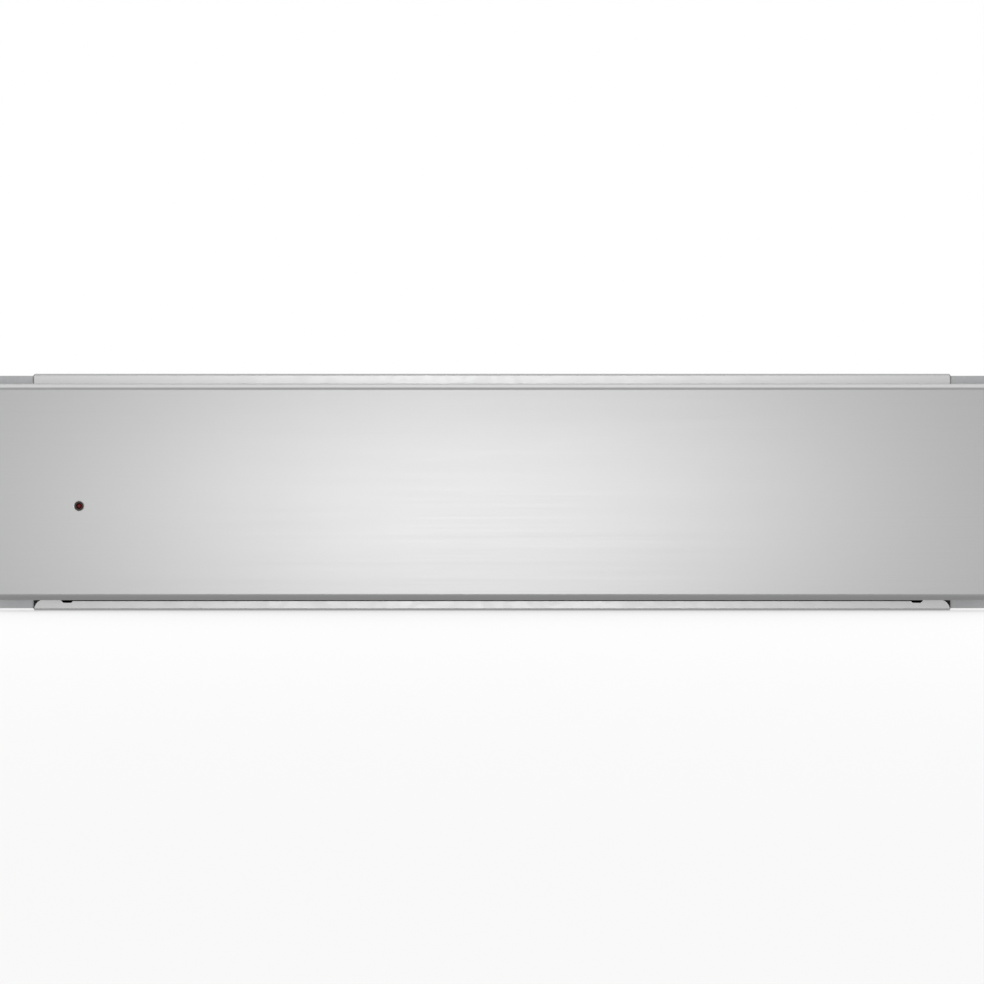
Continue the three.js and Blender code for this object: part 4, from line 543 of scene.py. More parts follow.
# painted shade along the upper bends and on the forward-facing cut ends comes in with the edge
# layer
zinc_steel = metal(
    "zinc_coated_sheet",
    (0.48, 0.48, 0.48),
    0.34,
    [(HANDLING, {"Amount": 0.02}), (EDGE_SHADE, END_SHADE_DEPTHS), (SPANGLE, {})],
    (0.02, 0.03 * MM),
)
# painted shade along the upper bends and on the forward-facing cut ends comes in with the edge
# layer
dull_zinc = metal(
    "dull_zinc_sheet",
    (0.4, 0.405, 0.41),
    0.45,
    [(HANDLING, {"Amount": 0.08}), (EDGE_SHADE, END_SHADE_DEPTHS), (SPANGLE, {"Contrast": 0.08})],
    (0.08, 0.03 * MM),
)
rail_steel = metal(
    "plated_rail",
    (0.5, 0.51, 0.53),
    0.3,
    [(HANDLING, {"Size": 40.0, "Amount": 0.08}), (BRUSHING, {"Grain": ALONG_Y, "Contrast": 0.12})],
    (0.15, 0.05 * MM),
)
ball_steel = metal(
    "polished_ball_steel", (0.62, 0.63, 0.65), 0.12, [(HANDLING, {"Size": 300.0, "Amount": 0.05})]
)
screw_steel = metal(
    "plated_screw", (0.42, 0.42, 0.43), 0.35, [(HANDLING, {"Size": 500.0, "Amount": 0.2})]
)
black_plastic = material(
    "black_plastic", (0.012, 0.012, 0.013), 0.42, [(MOULD, {})], (0.25, 0.05 * MM)
)
grey_plastic = material(
    "grey_plastic",
    (0.13, 0.14, 0.15),
    0.5,
    [(HANDLING, {"Size": 60.0}), (MOULD, {})],
    (0.25, 0.06 * MM),
)
acetal = material(
    "natural_acetal", (0.72, 0.7, 0.64), 0.45, [(MOULD, {"Contrast": 0.06})], (0.1, 0.04 * MM)
)
rubber = material("black_rubber", (0.02, 0.02, 0.021), 0.75, [(MOULD, {})], (0.3, 0.08 * MM))
rocker_green = material(
    "green_rocker", (0.01, 0.12, 0.045), 0.22, [(MOULD, {"Contrast": 0.1})], Coat_Weight=0.4
)
glass = material(
    "dark_glass",
    (0.006, 0.008, 0.01),
    0.05,
    [(HANDLING, {"Size": 12.0, "Amount": 0.05})],
    Coat_Weight=0.5,
)
fibre = material(
    "fibre_board", (0.7, 0.67, 0.58), 0.95, [(MOULD, {"Size": 900.0})], (0.6, 0.3 * MM)
)
foil = material(
    "heating_film",
    (0.42, 0.2, 0.05),
    0.35,
    [(LINES, {"Spacing": (0, 700, 0), "Contrast": 0.5})],
    (0.2, 0.1 * MM),
    metallic=0.4,
)
heater_steel = material(
    "oxidised_tube",
    (0.11, 0.105, 0.1),
    0.45,
    [(HANDLING, {"Size": 90.0, "Amount": 0.5})],
    (0.1, 0.05 * MM),
    metallic=0.9,
)
laminations = material(
    "laminations",
    (0.1, 0.105, 0.11),
    0.5,
    [(LINES, {"Spacing": (0, 6000, 0), "Contrast": 0.5})],
    (0.6, 0.2 * MM),
    metallic=0.8,
)
winding = material(
    "winding_tape",
    (0.4, 0.16, 0.03),
    0.4,
    [(LINES, {"Spacing": (0, 0, 3000), "Contrast": 0.3})],
    (0.4, 0.2 * MM),
)
red_lens = material(
    "red_lens",
    (0.11, 0.004, 0.004),
    0.5,
    [(HANDLING, {"Size": 500.0, "Amount": 0.1})],
    Specular_IOR_Level=0.25,
)
smoked_plastic = material(
    "smoked_plastic", (0.035, 0.012, 0.011), 0.4, [(MOULD, {"Contrast": 0.15})], (0.1, 0.03 * MM)
)
white_print = material("white_print", (0.75, 0.75, 0.74), 0.5, [(MOULD, {"Contrast": 0.05})])
dark_print = material("dark_print", (0.02, 0.02, 0.022), 0.5, [(MOULD, {"Contrast": 0.05})])


def silicone_material():
    """Dark silicone with raised pips, 6.25 mm apart, over the fine texture of its mould."""
    made = material("silicone", (0.05, 0.052, 0.055), 0.62, [(MOULD, {"Contrast": 0.2})])
    tree = made.node_tree
    where = add_node(tree, "ShaderNodeTexCoord").outputs["Object"]
    pips = add_node(tree, "ShaderNodeGroup", {"Vector": where}, node_tree=PIPS)
    bump(tree, tree.nodes["Principled BSDF"], 0.7, 0.6 * MM, pips.outputs["Height"])
    return made


FINISHES = {
    "front_stainless": panel_steel,
    "drawer_stainless": drawer_steel,
    "galvanised_steel": zinc_steel,
    "runner_steel": rail_steel,
    "ball_steel": ball_steel,
    "black_plastic": black_plastic,
    "grey_plastic": grey_plastic,
    "cam_plastic": acetal,
    "red_lens": red_lens,
    "green_rocker": rocker_green,
    "rubber": rubber,
    "silicone": silicone_material(),
    "dark_glass": glass,
    "fibre_board": fibre,
    "heater_foil": foil,
    "heater_tube": heater_steel,
    "motor_iron": laminations,
    "coil_tape": winding,
}
DULL_SHEETS = ("left_side_wall", "right_side_wall", "front_backing")

for subpart in frame["record"]["subparts"]:
    finish = dull_zinc if subpart["node"] in DULL_SHEETS else FINISHES[subpart["material_slot"]]
    for place in nodes[subpart["node"]].material_slots:
        place.material = finish

# ---------------------------------------------------------------- front

SHEET = 1.0 * MM
BEVEL_HEIGHT = 2.6 * MM  # along the top and bottom edges, as seen from the front
BEVEL_DEPTH = 3.6 * MM
FOLD = 1.1 * MM  # how far each fold of the bevels is softened
END_FOLD = 1.0 * MM  # radius of the fold at the left and right end
BACK_FOLD = 1.2 * MM
HEM = 6.5 * MM
PANEL_CORNER = 0.5 * MM
EDGE_STRIP = 0.3 * MM  # narrow strip round the face that keeps the folds' shading off it
HOLE = [(2.7, 0.2), (2.75, 0.05), (2.9, 0.0), (3.3, 0.0)]  # the lamp's hole: radius, depth, mm
SPOKES = 96
SPOKE_MARGIN = 6 * MM  # inside the panel's edge, where each spoke chooses the side that it meets


def panel_ring(half_x, half_z, lamp_x, lamp_z):
    """Outline of one cross-section of the front, as (x, z) round the lamp's place: the same
    number of points on every section, on its four corner arcs and where even spokes from the
    lamp meet its sides."""
    spoke = np.linspace(0, TURN, SPOKES, endpoint=False)
    way_x, way_z = np.cos(spoke), np.sin(spoke)
    outer_x = PANEL_HIGH[0] - SPOKE_MARGIN
    outer_z = (PANEL_HIGH[2] - PANEL_LOW[2]) / 2 - SPOKE_MARGIN
    reach_x = (np.sign(way_x) * outer_x - lamp_x) / np.where(way_x == 0, TINY, way_x)
    reach_z = (np.sign(way_z) * outer_z - lamp_z) / np.where(way_z == 0, TINY, way_z)
    on_end = reach_x < reach_z
    x = np.where(on_end, np.sign(way_x) * half_x, lamp_x + way_x * reach_z)
    z = np.where(on_end, lamp_z + way_z * reach_x, np.sign(way_z) * half_z)
    turn = np.linspace(0, 1, 5)
    for side_x, side_z, start in [(1, 1, 0), (-1, 1, 1), (-1, -1, 2), (1, -1, 3)]:
        angle = (start + turn) * QUARTER
        x = np.append(x, side_x * (half_x - PANEL_CORNER) + PANEL_CORNER * np.cos(angle))
        z = np.append(z, side_z * (half_z - PANEL_CORNER) + PANEL_CORNER * np.sin(angle))
    share_x, share_z = x / half_x, z / half_z
    at_end = np.abs(share_x) >= np.abs(share_z)
    walk = np.where(at_end, share_z * np.sign(share_x), -share_x * np.sign(share_z))
    side = np.where(at_end, np.where(share_x > 0, 0, 2), np.where(share_z > 0, 1, 3))
    return np.stack([x, z], axis=-1)[np.lexsort((walk, side))]


def front_skin():
    """The folded front. Sections parallel to its face are rounded rectangles: towards the face
    their height shrinks along the bevel and its two soft folds, and their width along a small
    quarter circle. The face runs in to the lamp's hole, and the rear turns inwards as a hem."""
    half_x = PANEL_HIGH[0]
    half_z = (PANEL_HIGH[2] - PANEL_LOW[2]) / 2
    centre_z = (PANEL_HIGH[2] + PANEL_LOW[2]) / 2
    depth = PANEL_HIGH[1] - FACE_Y
    lamp_x, lamp_z = LAMP[0], LAMP[2] - centre_z
    before, after = BEVEL_HEIGHT + 2 * FOLD, BEVEL_DEPTH + 2 * FOLD
    bevel = softened([(0, before), (0, BEVEL_HEIGHT), (BEVEL_DEPTH, 0), (after, 0)], FOLD, steps=6)
    rows = []
    for deep, inset_z in bevel[1:]:
        short = END_FOLD - min(deep, END_FOLD)
        rows.append((END_FOLD - math.sqrt(END_FOLD**2 - short**2), inset_z, deep))
    for angle in np.linspace(0, QUARTER, 6):
        inset = BACK_FOLD * (1 - math.cos(angle))
        rows.append((inset, inset, depth - BACK_FOLD + BACK_FOLD * math.sin(angle)))
    rows.append((HEM, HEM, depth))
    rings = []
    for inset_x, inset_z, deep in rows:
        ring = panel_ring(half_x - inset_x, half_z - inset_z, lamp_x, lamp_z)
        rings.append(np.insert(ring, 1, FACE_Y + deep, axis=1))
    face = rings[0]
    strip = face * [1 - EDGE_STRIP / half_x, 1, 1 - EDGE_STRIP / half_z]
    angle = np.arctan2(face[:, 2] - lamp_z, face[:, 0] - lamp_x)
    hole = [
        placed(
            lamp_x + radius * MM * np.cos(angle),
            lamp_z + radius * MM * np.sin(angle),
            np.full_like(angle, FACE_Y + sink * MM),
            "y",
        )
        for radius, sink in HOLE
    ]
    points = np.stack([*hole, strip, *rings])
    points[..., 2] += centre_z
    part = (points, ring_faces(*points.shape[:2]))
    skin = add_piece(
        "front_skin", [part], panel_steel, "drawer", ["front_panel"], smooth=50
    )
    wall = skin.modifiers.new("wall", "SOLIDIFY")
    wall.thickness = SHEET
    wall.offset = -1
    wall.use_even_offset = True


RING_BORE = 1.65  # the ring's sizes, in mm
RING_HEAD = 2.4
RING_NECK = 3.0
RING_COLLAR = 4.5
RING_PROFILE = [  # radius, depth behind the lip
    (RING_BORE, 0.25),
    (1.75, 0.06),
    (1.95, 0.0),
    (2.2, 0.0),
    (2.36, 0.08),
    (RING_HEAD, 0.3),
    (RING_HEAD, 1.3),
    (RING_COLLAR - 0.15, 1.3),
    (RING_COLLAR, 1.45),
    (RING_COLLAR, 2.35),
    (RING_COLLAR - 0.15, 2.5),
    (RING_NECK, 2.5),
]
ROD_RADIUS = 1.35 * MM
ROD_SINK = 0.3 * MM  # of the dome's crown behind the ring's lip
ROD_DOME = 0.8 * MM
ROD_ROUND = 0.98  # how nearly the dome's rim runs straight back, of 1
ROD_SHOULDER = 1.4 * MM
ROD_TIP = 0.05 * MM  # radius of its flat rear end


def lamp():
    """Dark ring in the front's hole with a rounded lip, and the red light rod's domed head in
    it."""
    place = [LAMP[0], LAMP_FACE, LAMP[2]]
    ring_end = (high("indicator_bezel")[1] - LAMP_FACE) / MM
    start = (RING_BORE, 1.0)
    rear = [(RING_NECK, ring_end), (RING_BORE, ring_end)]
    ring = np.array([start, *RING_PROFILE, *rear, start]) * MM
    add_piece(
        "lamp_ring",
        [revolved(ring, place, sides=64)],
        smoked_plastic,
        "drawer",
        ["indicator_bezel"],
    )
    tail = high("indicator_lens")[1] - LAMP_FACE
    share = np.linspace(0.02, 1, 8)
    sink = ROD_SINK + ROD_DOME * (1 - np.sqrt(1 - ROD_ROUND * share**2))
    dome = np.stack([ROD_RADIUS * share, sink], axis=-1)
    rod = np.concatenate([dome, [(ROD_RADIUS, ROD_SHOULDER), (ROD_RADIUS, tail), (ROD_TIP, tail)]])
    add_piece(
        "lamp_rod", [turned_solid(rod, place)], red_lens, "drawer", ["indicator_lens"]
    )


# ---------------------------------------------------------------- runners

CAGE_STRIP = 0.6 * MM
CAGE_TIP = 0.325 * MM  # the strip ends this far inside the balls' outer side
CAGE_BENDS = (1.0 * MM, 0.5 * MM)  # outside and inside of its bends
CAGE_BALL = 2.2 * MM
BALLS_IN_ROW = 4
END_BALL = 9 * MM  # from a cage's end
WALL_OUTSIDE = 270.2 * MM  # outside of the side walls, from the middle
RIVET_END = 60 * MM  # from a rail's end
RIVETS_IN_RAIL = 3
RIVET_PROFILE = [(0.05, 1.25), (1.6, 1.1), (2.7, 0.6), (3.2, 0.0), (3.2, -0.2), (0.05, -0.2)]  # mm
SIDES = (("left", -1), ("right", 1))


def ball_cages():
    """Each cage is a bent strip with rounded bends, and balls that stand through it in two
    rows."""
    half = CAGE_STRIP / 2
    for side, sign in SIDES:
        for tier in ("outer", "inner"):
            node = f"{side}_{tier}_ball_cage"
            a, b = low(node), high(node)
            web, open_side = (a[0], b[0]) if sign < 0 else (b[0], a[0])
            ball_x = open_side + sign * CAGE_BALL
            tip = ball_x - sign * (CAGE_BALL - CAGE_TIP)
            back = web - sign * CAGE_STRIP
            top, foot = b[2] - CAGE_BALL, a[2] + CAGE_BALL
            outer = [(tip, top + half), (web, top + half), (web, foot - half), (tip, foot - half)]
            inner = [(tip, foot + half), (back, foot + half), (back, top - half), (tip, top - half)]
            bends = [softened(line, bend) for line, bend in zip((outer, inner), CAGE_BENDS)]
            parts = [section_sheet(np.concatenate(bends), a[1], b[1], "y")]
            row = np.linspace(a[1] + END_BALL, b[1] - END_BALL, BALLS_IN_ROW)
            parts += [ball((ball_x, y, z), CAGE_BALL) for y in row for z in (top, foot)]
            name, body = f"{side}_{tier}_cage_and_balls", f"{side}_{tier}_cage"
            add_piece(name, parts, ball_steel, body, [node])


def rail_rivets():
    """Domed rivet heads outside the side walls, which hold the fixed rails to them."""
    for side, sign in SIDES:
        rail = f"{side}_fixed_rail"
        profile = np.array(RIVET_PROFILE) * MM * [1, sign]
        row = np.linspace(low(rail)[1] + RIVET_END, high(rail)[1] - RIVET_END, RIVETS_IN_RAIL)
        parts = [
            turned_solid(profile, (sign * WALL_OUTSIDE, y, middle(rail)[2]), axis="x", sides=24)
            for y in row
        ]
        add_piece(f"{side}_rail_rivets", parts, screw_steel, "housing")


# ---------------------------------------------------------------- housing

COVER_SCREW = (3.0 * MM, 1.5 * MM)  # a head's radius and height
COVER_SCREW_ROW = np.array([-170, 10, 190]) * MM
COVER_SCREW_DOWN = 5 * MM  # from the cover's top
REAR_SCREW = (3.6 * MM, 1.9 * MM)
REAR_SPOTS = [(-255, 20), (-255, 118), (255, 118), (255, 60), (0, 118), (0, 20)]  # x, z, mm


def housing_screws():
    """Cross-recess screws: through the cover's skirts into the side walls, and round the rear
    wall."""
    cover = high("top_cover")
    for side, sign in SIDES:
        parts = [
            screw_head((sign * cover[0], y, cover[2] - COVER_SCREW_DOWN), "x", sign, *COVER_SCREW)
            for y in COVER_SCREW_ROW
        ]
        add_piece(f"{side}_cover_screws", parts, screw_steel, "housing")
    rear = high("rear_wall")[1]
    parts = [screw_head((x * MM, rear, z * MM), "y", 1, *REAR_SCREW) for x, z in REAR_SPOTS]
    add_piece("rear_screws", parts, screw_steel, "housing")


GLAND_BORE = 4.5  # the gland's radii, in mm
GLAND_NUT = 11.0
GLAND_NECK = 7.4
GLAND_FLANGE = 12.0
GLAND_SLEEVE = (8.6, 7.2)  # at its root and near its end
GLAND_RIBS = 24
NUT_RIBS, SLEEVE_RIBS = 0.02, 0.012  # their depths, in shares of the radius


def gland():
    """Cable gland: a ribbed nut inside, a flange on the wall and a tapered, ribbed sleeve
    outside."""
    centre = middle("cable_gland")
    start, end = low("cable_gland")[1] / MM, high("cable_gland")[1] / MM
    rear = high("rear_wall")[1] / MM
    nut_end = start + 4
    profile = [
        (GLAND_BORE, start + 1),
        (GLAND_BORE + 0.6, start),
        (GLAND_NUT - 0.6, start),
        (GLAND_NUT, start + 0.6),
        (GLAND_NUT, nut_end - 0.6),
        (GLAND_NUT - 0.4, nut_end),
        (GLAND_NECK, nut_end),
        (GLAND_NECK, rear + 0.3),
        (GLAND_FLANGE - 0.4, rear + 0.3),
        (GLAND_FLANGE, rear + 0.7),
        (GLAND_FLANGE, rear + 1.9),
        (GLAND_FLANGE - 0.5, rear + 2.3),
        (GLAND_SLEEVE[0], rear + 2.5),
        (GLAND_SLEEVE[1], end - 0.6),
        (GLAND_SLEEVE[1] - 0.5, end),
        (GLAND_BORE + 0.5, end),
        (GLAND_BORE, end - 0.6),
        (GLAND_BORE, start + 1),
    ]
    depths = np.zeros(len(profile))
    depths[3:5] = NUT_RIBS
    depths[12:14] = SLEEVE_RIBS
    wave = waved(depths, GLAND_RIBS, 0.5)
    sleeve = revolved(np.array(profile) * MM, (centre[0], 0, centre[2]), sides=96, wave=wave)
    add_piece("gland_sleeve", [sleeve], black_plastic, "housing", ["cable_gland"])


# ---------------------------------------------------------------- drawer

LAYER_CORNER = 8 * MM
GLASS_EDGE = 1.0 * MM
MAT_EDGE = 0.8 * MM


def floor_layers():
    """The glass with polished edges and the silicone mat with a soft edge, in place of the
    plain ones."""
    for name, node, finish, slot, edge in (
        ("glass_with_polished_edge", "glass_plate", glass, "dark_glass", GLASS_EDGE),
        ("mat_with_pips", "anti_slip_mat", FINISHES["silicone"], "silicone", MAT_EDGE),
    ):
        plate = slab(low(node), high(node), LAYER_CORNER, edge)
        add_piece(name, [plate], finish, "drawer", [node])


HEATER_WIRE = 3.2 * MM  # radius of the tube
HEATER_OPENING = 0.56  # radians of the ring that are open at its foot
HEATER_POINTS = 72  # round the ring
HEATER_BEND = (5 * MM, 6 * MM)  # an end's turn, along the ring and then backwards


def heater_tube():
    """The ring heater as a smooth tube: an arc round the shaft whose ends turn back along it
    through soft bends."""
    a, b = low("heater_ring"), high("heater_ring")
    ring = (b[0] - a[0]) / 2 - HEATER_WIRE
    ring_y, centre_z = a[1] + HEATER_WIRE, b[2] - HEATER_WIRE - ring
    opening = HEATER_OPENING / 2
    angle = np.linspace(opening - QUARTER, 3 * QUARTER - opening, HEATER_POINTS)
    around = [ring * np.cos(angle), centre_z + ring * np.sin(angle)]
    arc = placed(*around, np.full_like(angle, ring_y), "y")
    share = np.linspace(0, 1, 8)[1:, None]

    def turned_back(end, before):
        """From the ring's end the path bends along y: a quadratic curve, then straight."""
        corner = end + (end - before) / np.linalg.norm(end - before) * HEATER_BEND[0]
        target = corner + [0, HEATER_BEND[1], 0]
        straight = np.linspace(target, [target[0], b[1], target[2]], 6)[1:]
        return np.concatenate([quadratic(end, corner, target, share), straight])

    path = np.concatenate([turned_back(arc[0], arc[1])[::-1], arc, turned_back(arc[-1], arc[-2])])
    piece = tube(path, HEATER_WIRE)
    add_piece("heater_tube", [piece], heater_steel, "drawer", ["heater_ring"])


# ---------------------------------------------------------------- controls

PRINT = 0.04 * MM
KNOB_SKIRT = 18.0  # the knob's radii, in mm
KNOB_GRIP = 14.8
KNOB_STEM = 3.3
KNOB_DISH = 0.35  # depth of its top's hollow
KNOB_FLUTES = 12
FLUTE_DEPTHS = [0.03, 0.055, 0.06, 0.05, 0.02]  # up the grip, in shares of the radius
POINTER_HALF = 0.6 * MM
POINTER_REACH = (3.0 * MM, 12.5 * MM)
POINTER_DEPTH = 0.25 * MM
DIAL_MARKS = 11
FIRST_MARK = np.array([1.2, 0.32]) * MM  # length and half width
MARK_GROWTH = np.array([0.28, 0.03]) * MM  # from each mark to the next
DIAL_STEP = math.radians(27)
DIAL_RADIUS = 19.2 * MM
DIAL_PRINT = 0.03 * MM


def knob_grip():
    """Control knob: a turned profile whose grip is waved by a cosine of twelve times the angle,
    with a printed pointer on its top. Gives the knob's centre."""
    a, b = low("thermostat_knob"), high("thermostat_knob")
    centre = ((a[0] + b[0]) / 2, (a[1] + b[1]) / 2, a[2])
    rise = (b[2] - a[2]) / MM
    profile = [
        (KNOB_STEM, 10.0),
        (KNOB_STEM, 0.5),
        (KNOB_STEM + 0.5, 0.0),
        (KNOB_SKIRT - 0.4, 0.0),
        (KNOB_SKIRT, 0.4),
        (KNOB_SKIRT, 1.0),
        (KNOB_SKIRT - 0.4, 1.5),
        (16.2, 2.3),
        (15.3, 2.7),
        (KNOB_GRIP + 0.1, 3.4),
        (KNOB_GRIP, rise - 2.2),
        (KNOB_GRIP - 0.3, rise - 1.1),
        (KNOB_GRIP - 0.9, rise - 0.4),
        (13.0, rise),
        (10.0, rise),
        (9.4, rise - KNOB_DISH),
        (0.1, rise - KNOB_DISH),
    ]
    depths = np.zeros(len(profile))
    depths[8:13] = FLUTE_DEPTHS
    wave = waved(depths, KNOB_FLUTES, -0.5)
    grip = turned_solid(np.array(profile) * MM, centre, "z", sides=144, wave=wave)
    add_piece("knob_grip", [grip], black_plastic, "knob", ["thermostat_knob"])
    x, y, top = centre[0], centre[1], b[2] + PRINT / 2
    line_low = (x - POINTER_HALF, y + POINTER_REACH[0], top - POINTER_DEPTH)
    line_high = (x + POINTER_HALF, y + POINTER_REACH[1], top)
    line = slab(line_low, line_high, corner=0.5 * MM, edge=0.05 * MM)
    add_piece("knob_pointer", [line], white_print, "knob")
    return centre


def dial_marks(centre):
    """Printed marks round the knob: short bars at even turns from off to full, each a little
    longer and wider than the one before."""
    top = high("control_console")[2]
    parts = []
    for step in range(DIAL_MARKS):
        angle = QUARTER - step * DIAL_STEP
        length, half = FIRST_MARK + step * MARK_GROWTH
        way = np.array([math.cos(angle), math.sin(angle)])
        side = np.array([-way[1], way[0]]) * half
        inner = np.array(centre[:2]) + way * DIAL_RADIUS
        outer = inner + way * length
        square = np.array([inner - side, inner + side, outer + side, outer - side])
        parts.append(section_sheet(square, top, top + DIAL_PRINT, "z"))
    add_piece("dial_marks", parts, dark_print, "drawer")


ROCKER_RADIUS = 11.5 * MM
ROCKER_RISE = 0.42  # radians that its round ends reach above the pivot
ROCKER_DIP = 0.5  # and below it
ROCKER_VALLEY = 1.4 * MM  # its middle below its ends
ROCKER_SOFT = 0.9 * MM  # how far its top's corners are cut back
ROCKER_PIVOT_DEPTH = 1.2 * MM  # below the console's top
ROCKER_TILT = math.radians(8)
MARK_PLACE = 0.55  # of the way from the rocker's middle to its end
BAR_MARK = (0.45 * MM, 1.7 * MM)  # halves of its width and its length
RING_MARK = (1.25 * MM, 1.9 * MM)  # inner and outer radius


def tipped(points, angle):
    """Points turned about the x axis."""
    x, y, z = points[..., 0], points[..., 1], points[..., 2]
    c, s = math.cos(angle), math.sin(angle)
    return np.stack([x, y * c - z * s, y * s + z * c], axis=-1)


def rocker_pivot():
    """The rocker's pivot, and how far its round ends reach from it along the switch and above
    it."""
    across, along = middle("switch_frame")[:2]
    pivot = np.array([across, along, high("control_console")[2] - ROCKER_PIVOT_DEPTH])
    return pivot, ROCKER_RADIUS * math.cos(ROCKER_RISE), ROCKER_RADIUS * math.sin(ROCKER_RISE)


def rocker_cap():
    """Rocker of the switch. Its section has round ends about the pivot and two slopes that meet
    over it, with soft corners. It is carried along the pivot and tipped about it."""
    pivot, _, rise = rocker_pivot()
    angle = np.linspace(math.pi - ROCKER_RISE, math.pi + ROCKER_DIP, 12)
    left = ROCKER_RADIUS * np.stack([np.cos(angle), np.sin(angle)], axis=-1)
    right = left[::-1] * [-1, 1]
    valley = (0, rise - ROCKER_VALLEY)
    top = softened([left[1], left[0], valley, right[-1], right[-2]], ROCKER_SOFT, steps=6)
    section = np.concatenate([left[2:], right[:-2], top[::-1]])
    half = (high("switch_rocker")[0] - low("switch_rocker")[0]) / 2
    points, faces = section_sheet(section, -half, half, "x")
    part = (tipped(points, ROCKER_TILT) + pivot, faces)
    cap = add_piece("rocker_cap", [part], rocker_green, "rocker", ["switch_rocker"])
    edges = cap.modifiers.new("edges", "BEVEL")
    edges.width = 0.25 * MM
    edges.segments = 2
    edges.limit_method = "ANGLE"
    edges.angle_limit = math.radians(40)


def rocker_marks():
    """Printed bar and ring on the rocker's two halves, which slope down to its middle. Each is
    made flat, laid on its slope, and tipped with the rocker about its pivot."""
    pivot, reach, rise = rocker_pivot()
    slope = math.atan2(ROCKER_VALLEY, reach)
    height = rise - ROCKER_VALLEY * (1 - MARK_PLACE)
    wide, long = BAR_MARK
    bar = slab((-wide, -long, -PRINT), (wide, long, PRINT), corner=0.3 * MM, edge=0.4 * PRINT)
    bore, rim = RING_MARK
    band = [(bore, -PRINT), (rim, -PRINT), (rim, PRINT), (bore, PRINT), (bore, -PRINT)]
    ring = revolved(band, (0, 0, 0), "z")
    parts = []
    for half, (points, faces) in ((-1, ring), (1, bar)):
        laid = tipped(points, half * slope) + [0, half * reach * MARK_PLACE, height]
        parts.append((tipped(laid, ROCKER_TILT) + pivot, faces))
    add_piece("rocker_marks", parts, white_print, "rocker")


front_skin()
lamp()
ball_cages()
rail_rivets()
housing_screws()
gland()
floor_layers()
heater_tube()
dial_marks(knob_grip())
rocker_cap()
rocker_marks()

# ---------------------------------------------------------------- stage, light and camera

CAMERA_DISTANCE = 2.5  # from the drawer's face
VIEW_WIDTH = 0.5758  # width of the picture in the plane of that face
SENSOR = 36  # the camera's sensor width, mm
MID_HEIGHT = 0.07
FULL_WHITE = 1.0
FLOOR_SIZE = 14
FLOOR_PALE = 0.93
FLOOR_ROUGHNESS = 0.9
FLOOR_WHITE = 0.6  # share of plain white where a camera, glossy or transmitted ray meets it
WORLD_LIGHT = 0.75
CORE = (0, 0, MID_HEIGHT)
SOFT_BOXES = [  # name, place, target, width, height, watts
    ("front_box", (-0.034, FACE_Y - 2.6, 0.05), (0, FACE_Y, MID_HEIGHT), 0.4, 0.09, 3.7),
    ("top_box", (0, -0.1, 1.8), CORE, 2.4, 2.4, 5.5),
    ("edge_box", (0, 0.22, 1.6), (0, 0.22, MID_HEIGHT), 2.2, 0.35, 3.1),
    ("left_box", (-2.4, 0.3, 1.3), CORE, 2.4, 2.0, 10),
    ("right_box", (2.4, 0.3, 1.3), CORE, 2.4, 2.0, 10),
    ("rear_box", (0.3, 2.8, 1.3), CORE, 2.4, 2.0, 12),
]


def seen(tree):
    """One where a camera, glossy or transmitted ray meets the surface, and nothing elsewhere."""
    path = add_node(tree, "ShaderNodeLightPath").outputs
    either = number(tree, path["Is Camera Ray"], "MAXIMUM", path["Is Glossy Ray"])
    return number(tree, either, "MAXIMUM", path["Is Transmission Ray"])


def mixed(tree, weight, lit, white, output):
    """Leads a lit surface to the output, replaced by plain white by the weight."""
    made = add_node(tree, "ShaderNodeMixShader", {0: weight, 1: lit, 2: white.outputs[0]})
    tree.links.new(made.outputs[0], output.inputs["Surface"])


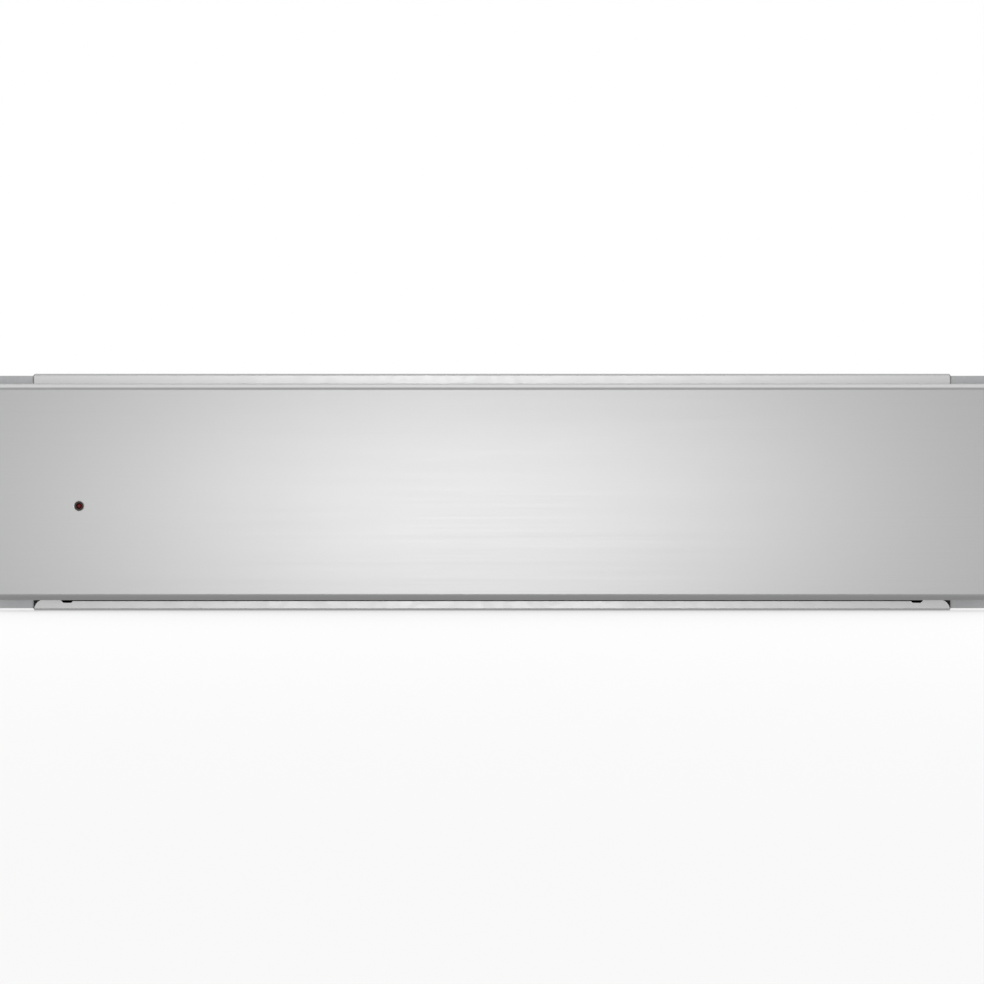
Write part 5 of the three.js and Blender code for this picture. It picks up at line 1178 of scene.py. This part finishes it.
def floor():
    """A plain pale floor under the housing, made whiter where it is seen itself."""
    bpy.ops.mesh.primitive_plane_add(size=FLOOR_SIZE)
    ground = bpy.context.object
    ground.name = "floor"
    paint = bpy.data.materials.new("pale_floor")
    paint.use_nodes = True
    tree = paint.node_tree
    shader = tree.nodes["Principled BSDF"]
    shader.inputs["Base Color"].default_value = (FLOOR_PALE, FLOOR_PALE, FLOOR_PALE, 1)
    shader.inputs["Roughness"].default_value = FLOOR_ROUGHNESS
    ground.data.materials.append(paint)
    weight = number(tree, seen(tree), "MULTIPLY", FLOOR_WHITE)
    white = add_node(tree, "ShaderNodeEmission", {"Color": (1, 1, 1, 1), "Strength": FULL_WHITE})
    mixed(tree, weight, shader.outputs[0], white, tree.nodes["Material Output"])


def studio_world():
    """Soft even light from all round, and plain white where a ray sees the background itself."""
    world = bpy.data.worlds.new("studio")
    bpy.context.scene.world = world
    world.use_nodes = True
    tree = world.node_tree
    tree.nodes.clear()
    soft, white = (
        add_node(tree, "ShaderNodeBackground", {"Color": (1, 1, 1, 1), "Strength": strength})
        for strength in (WORLD_LIGHT, FULL_WHITE)
    )
    mixed(tree, seen(tree), soft.outputs[0], white, add_node(tree, "ShaderNodeOutputWorld"))


def soft_box(name, place, target, width, height, power):
    """An area lamp that faces a point."""
    light = bpy.data.lights.new(name, "AREA")
    light.shape = "RECTANGLE"
    light.size = width
    light.size_y = height
    light.energy = power
    box = bpy.data.objects.new(name, light)
    bpy.context.scene.collection.objects.link(box)
    box.location = place
    box.rotation_mode = "QUATERNION"
    box.rotation_quaternion = Vector(np.subtract(place, target)).to_track_quat("Z", "Y")


def camera():
    """Square on, at mid height, so near that the front runs past both sides of the picture."""
    view = bpy.data.cameras.new("camera")
    view.sensor_width = SENSOR
    view.lens = SENSOR * CAMERA_DISTANCE / VIEW_WIDTH
    made = bpy.data.objects.new("camera", view)
    bpy.context.scene.collection.objects.link(made)
    made.location = (0, FACE_Y - CAMERA_DISTANCE, MID_HEIGHT)
    made.rotation_euler = (QUARTER, 0, 0)
    bpy.context.scene.camera = made


floor()
studio_world()
for setting in SOFT_BOXES:
    soft_box(*setting)
camera()
bpy.context.scene.view_settings.view_transform = "Standard"
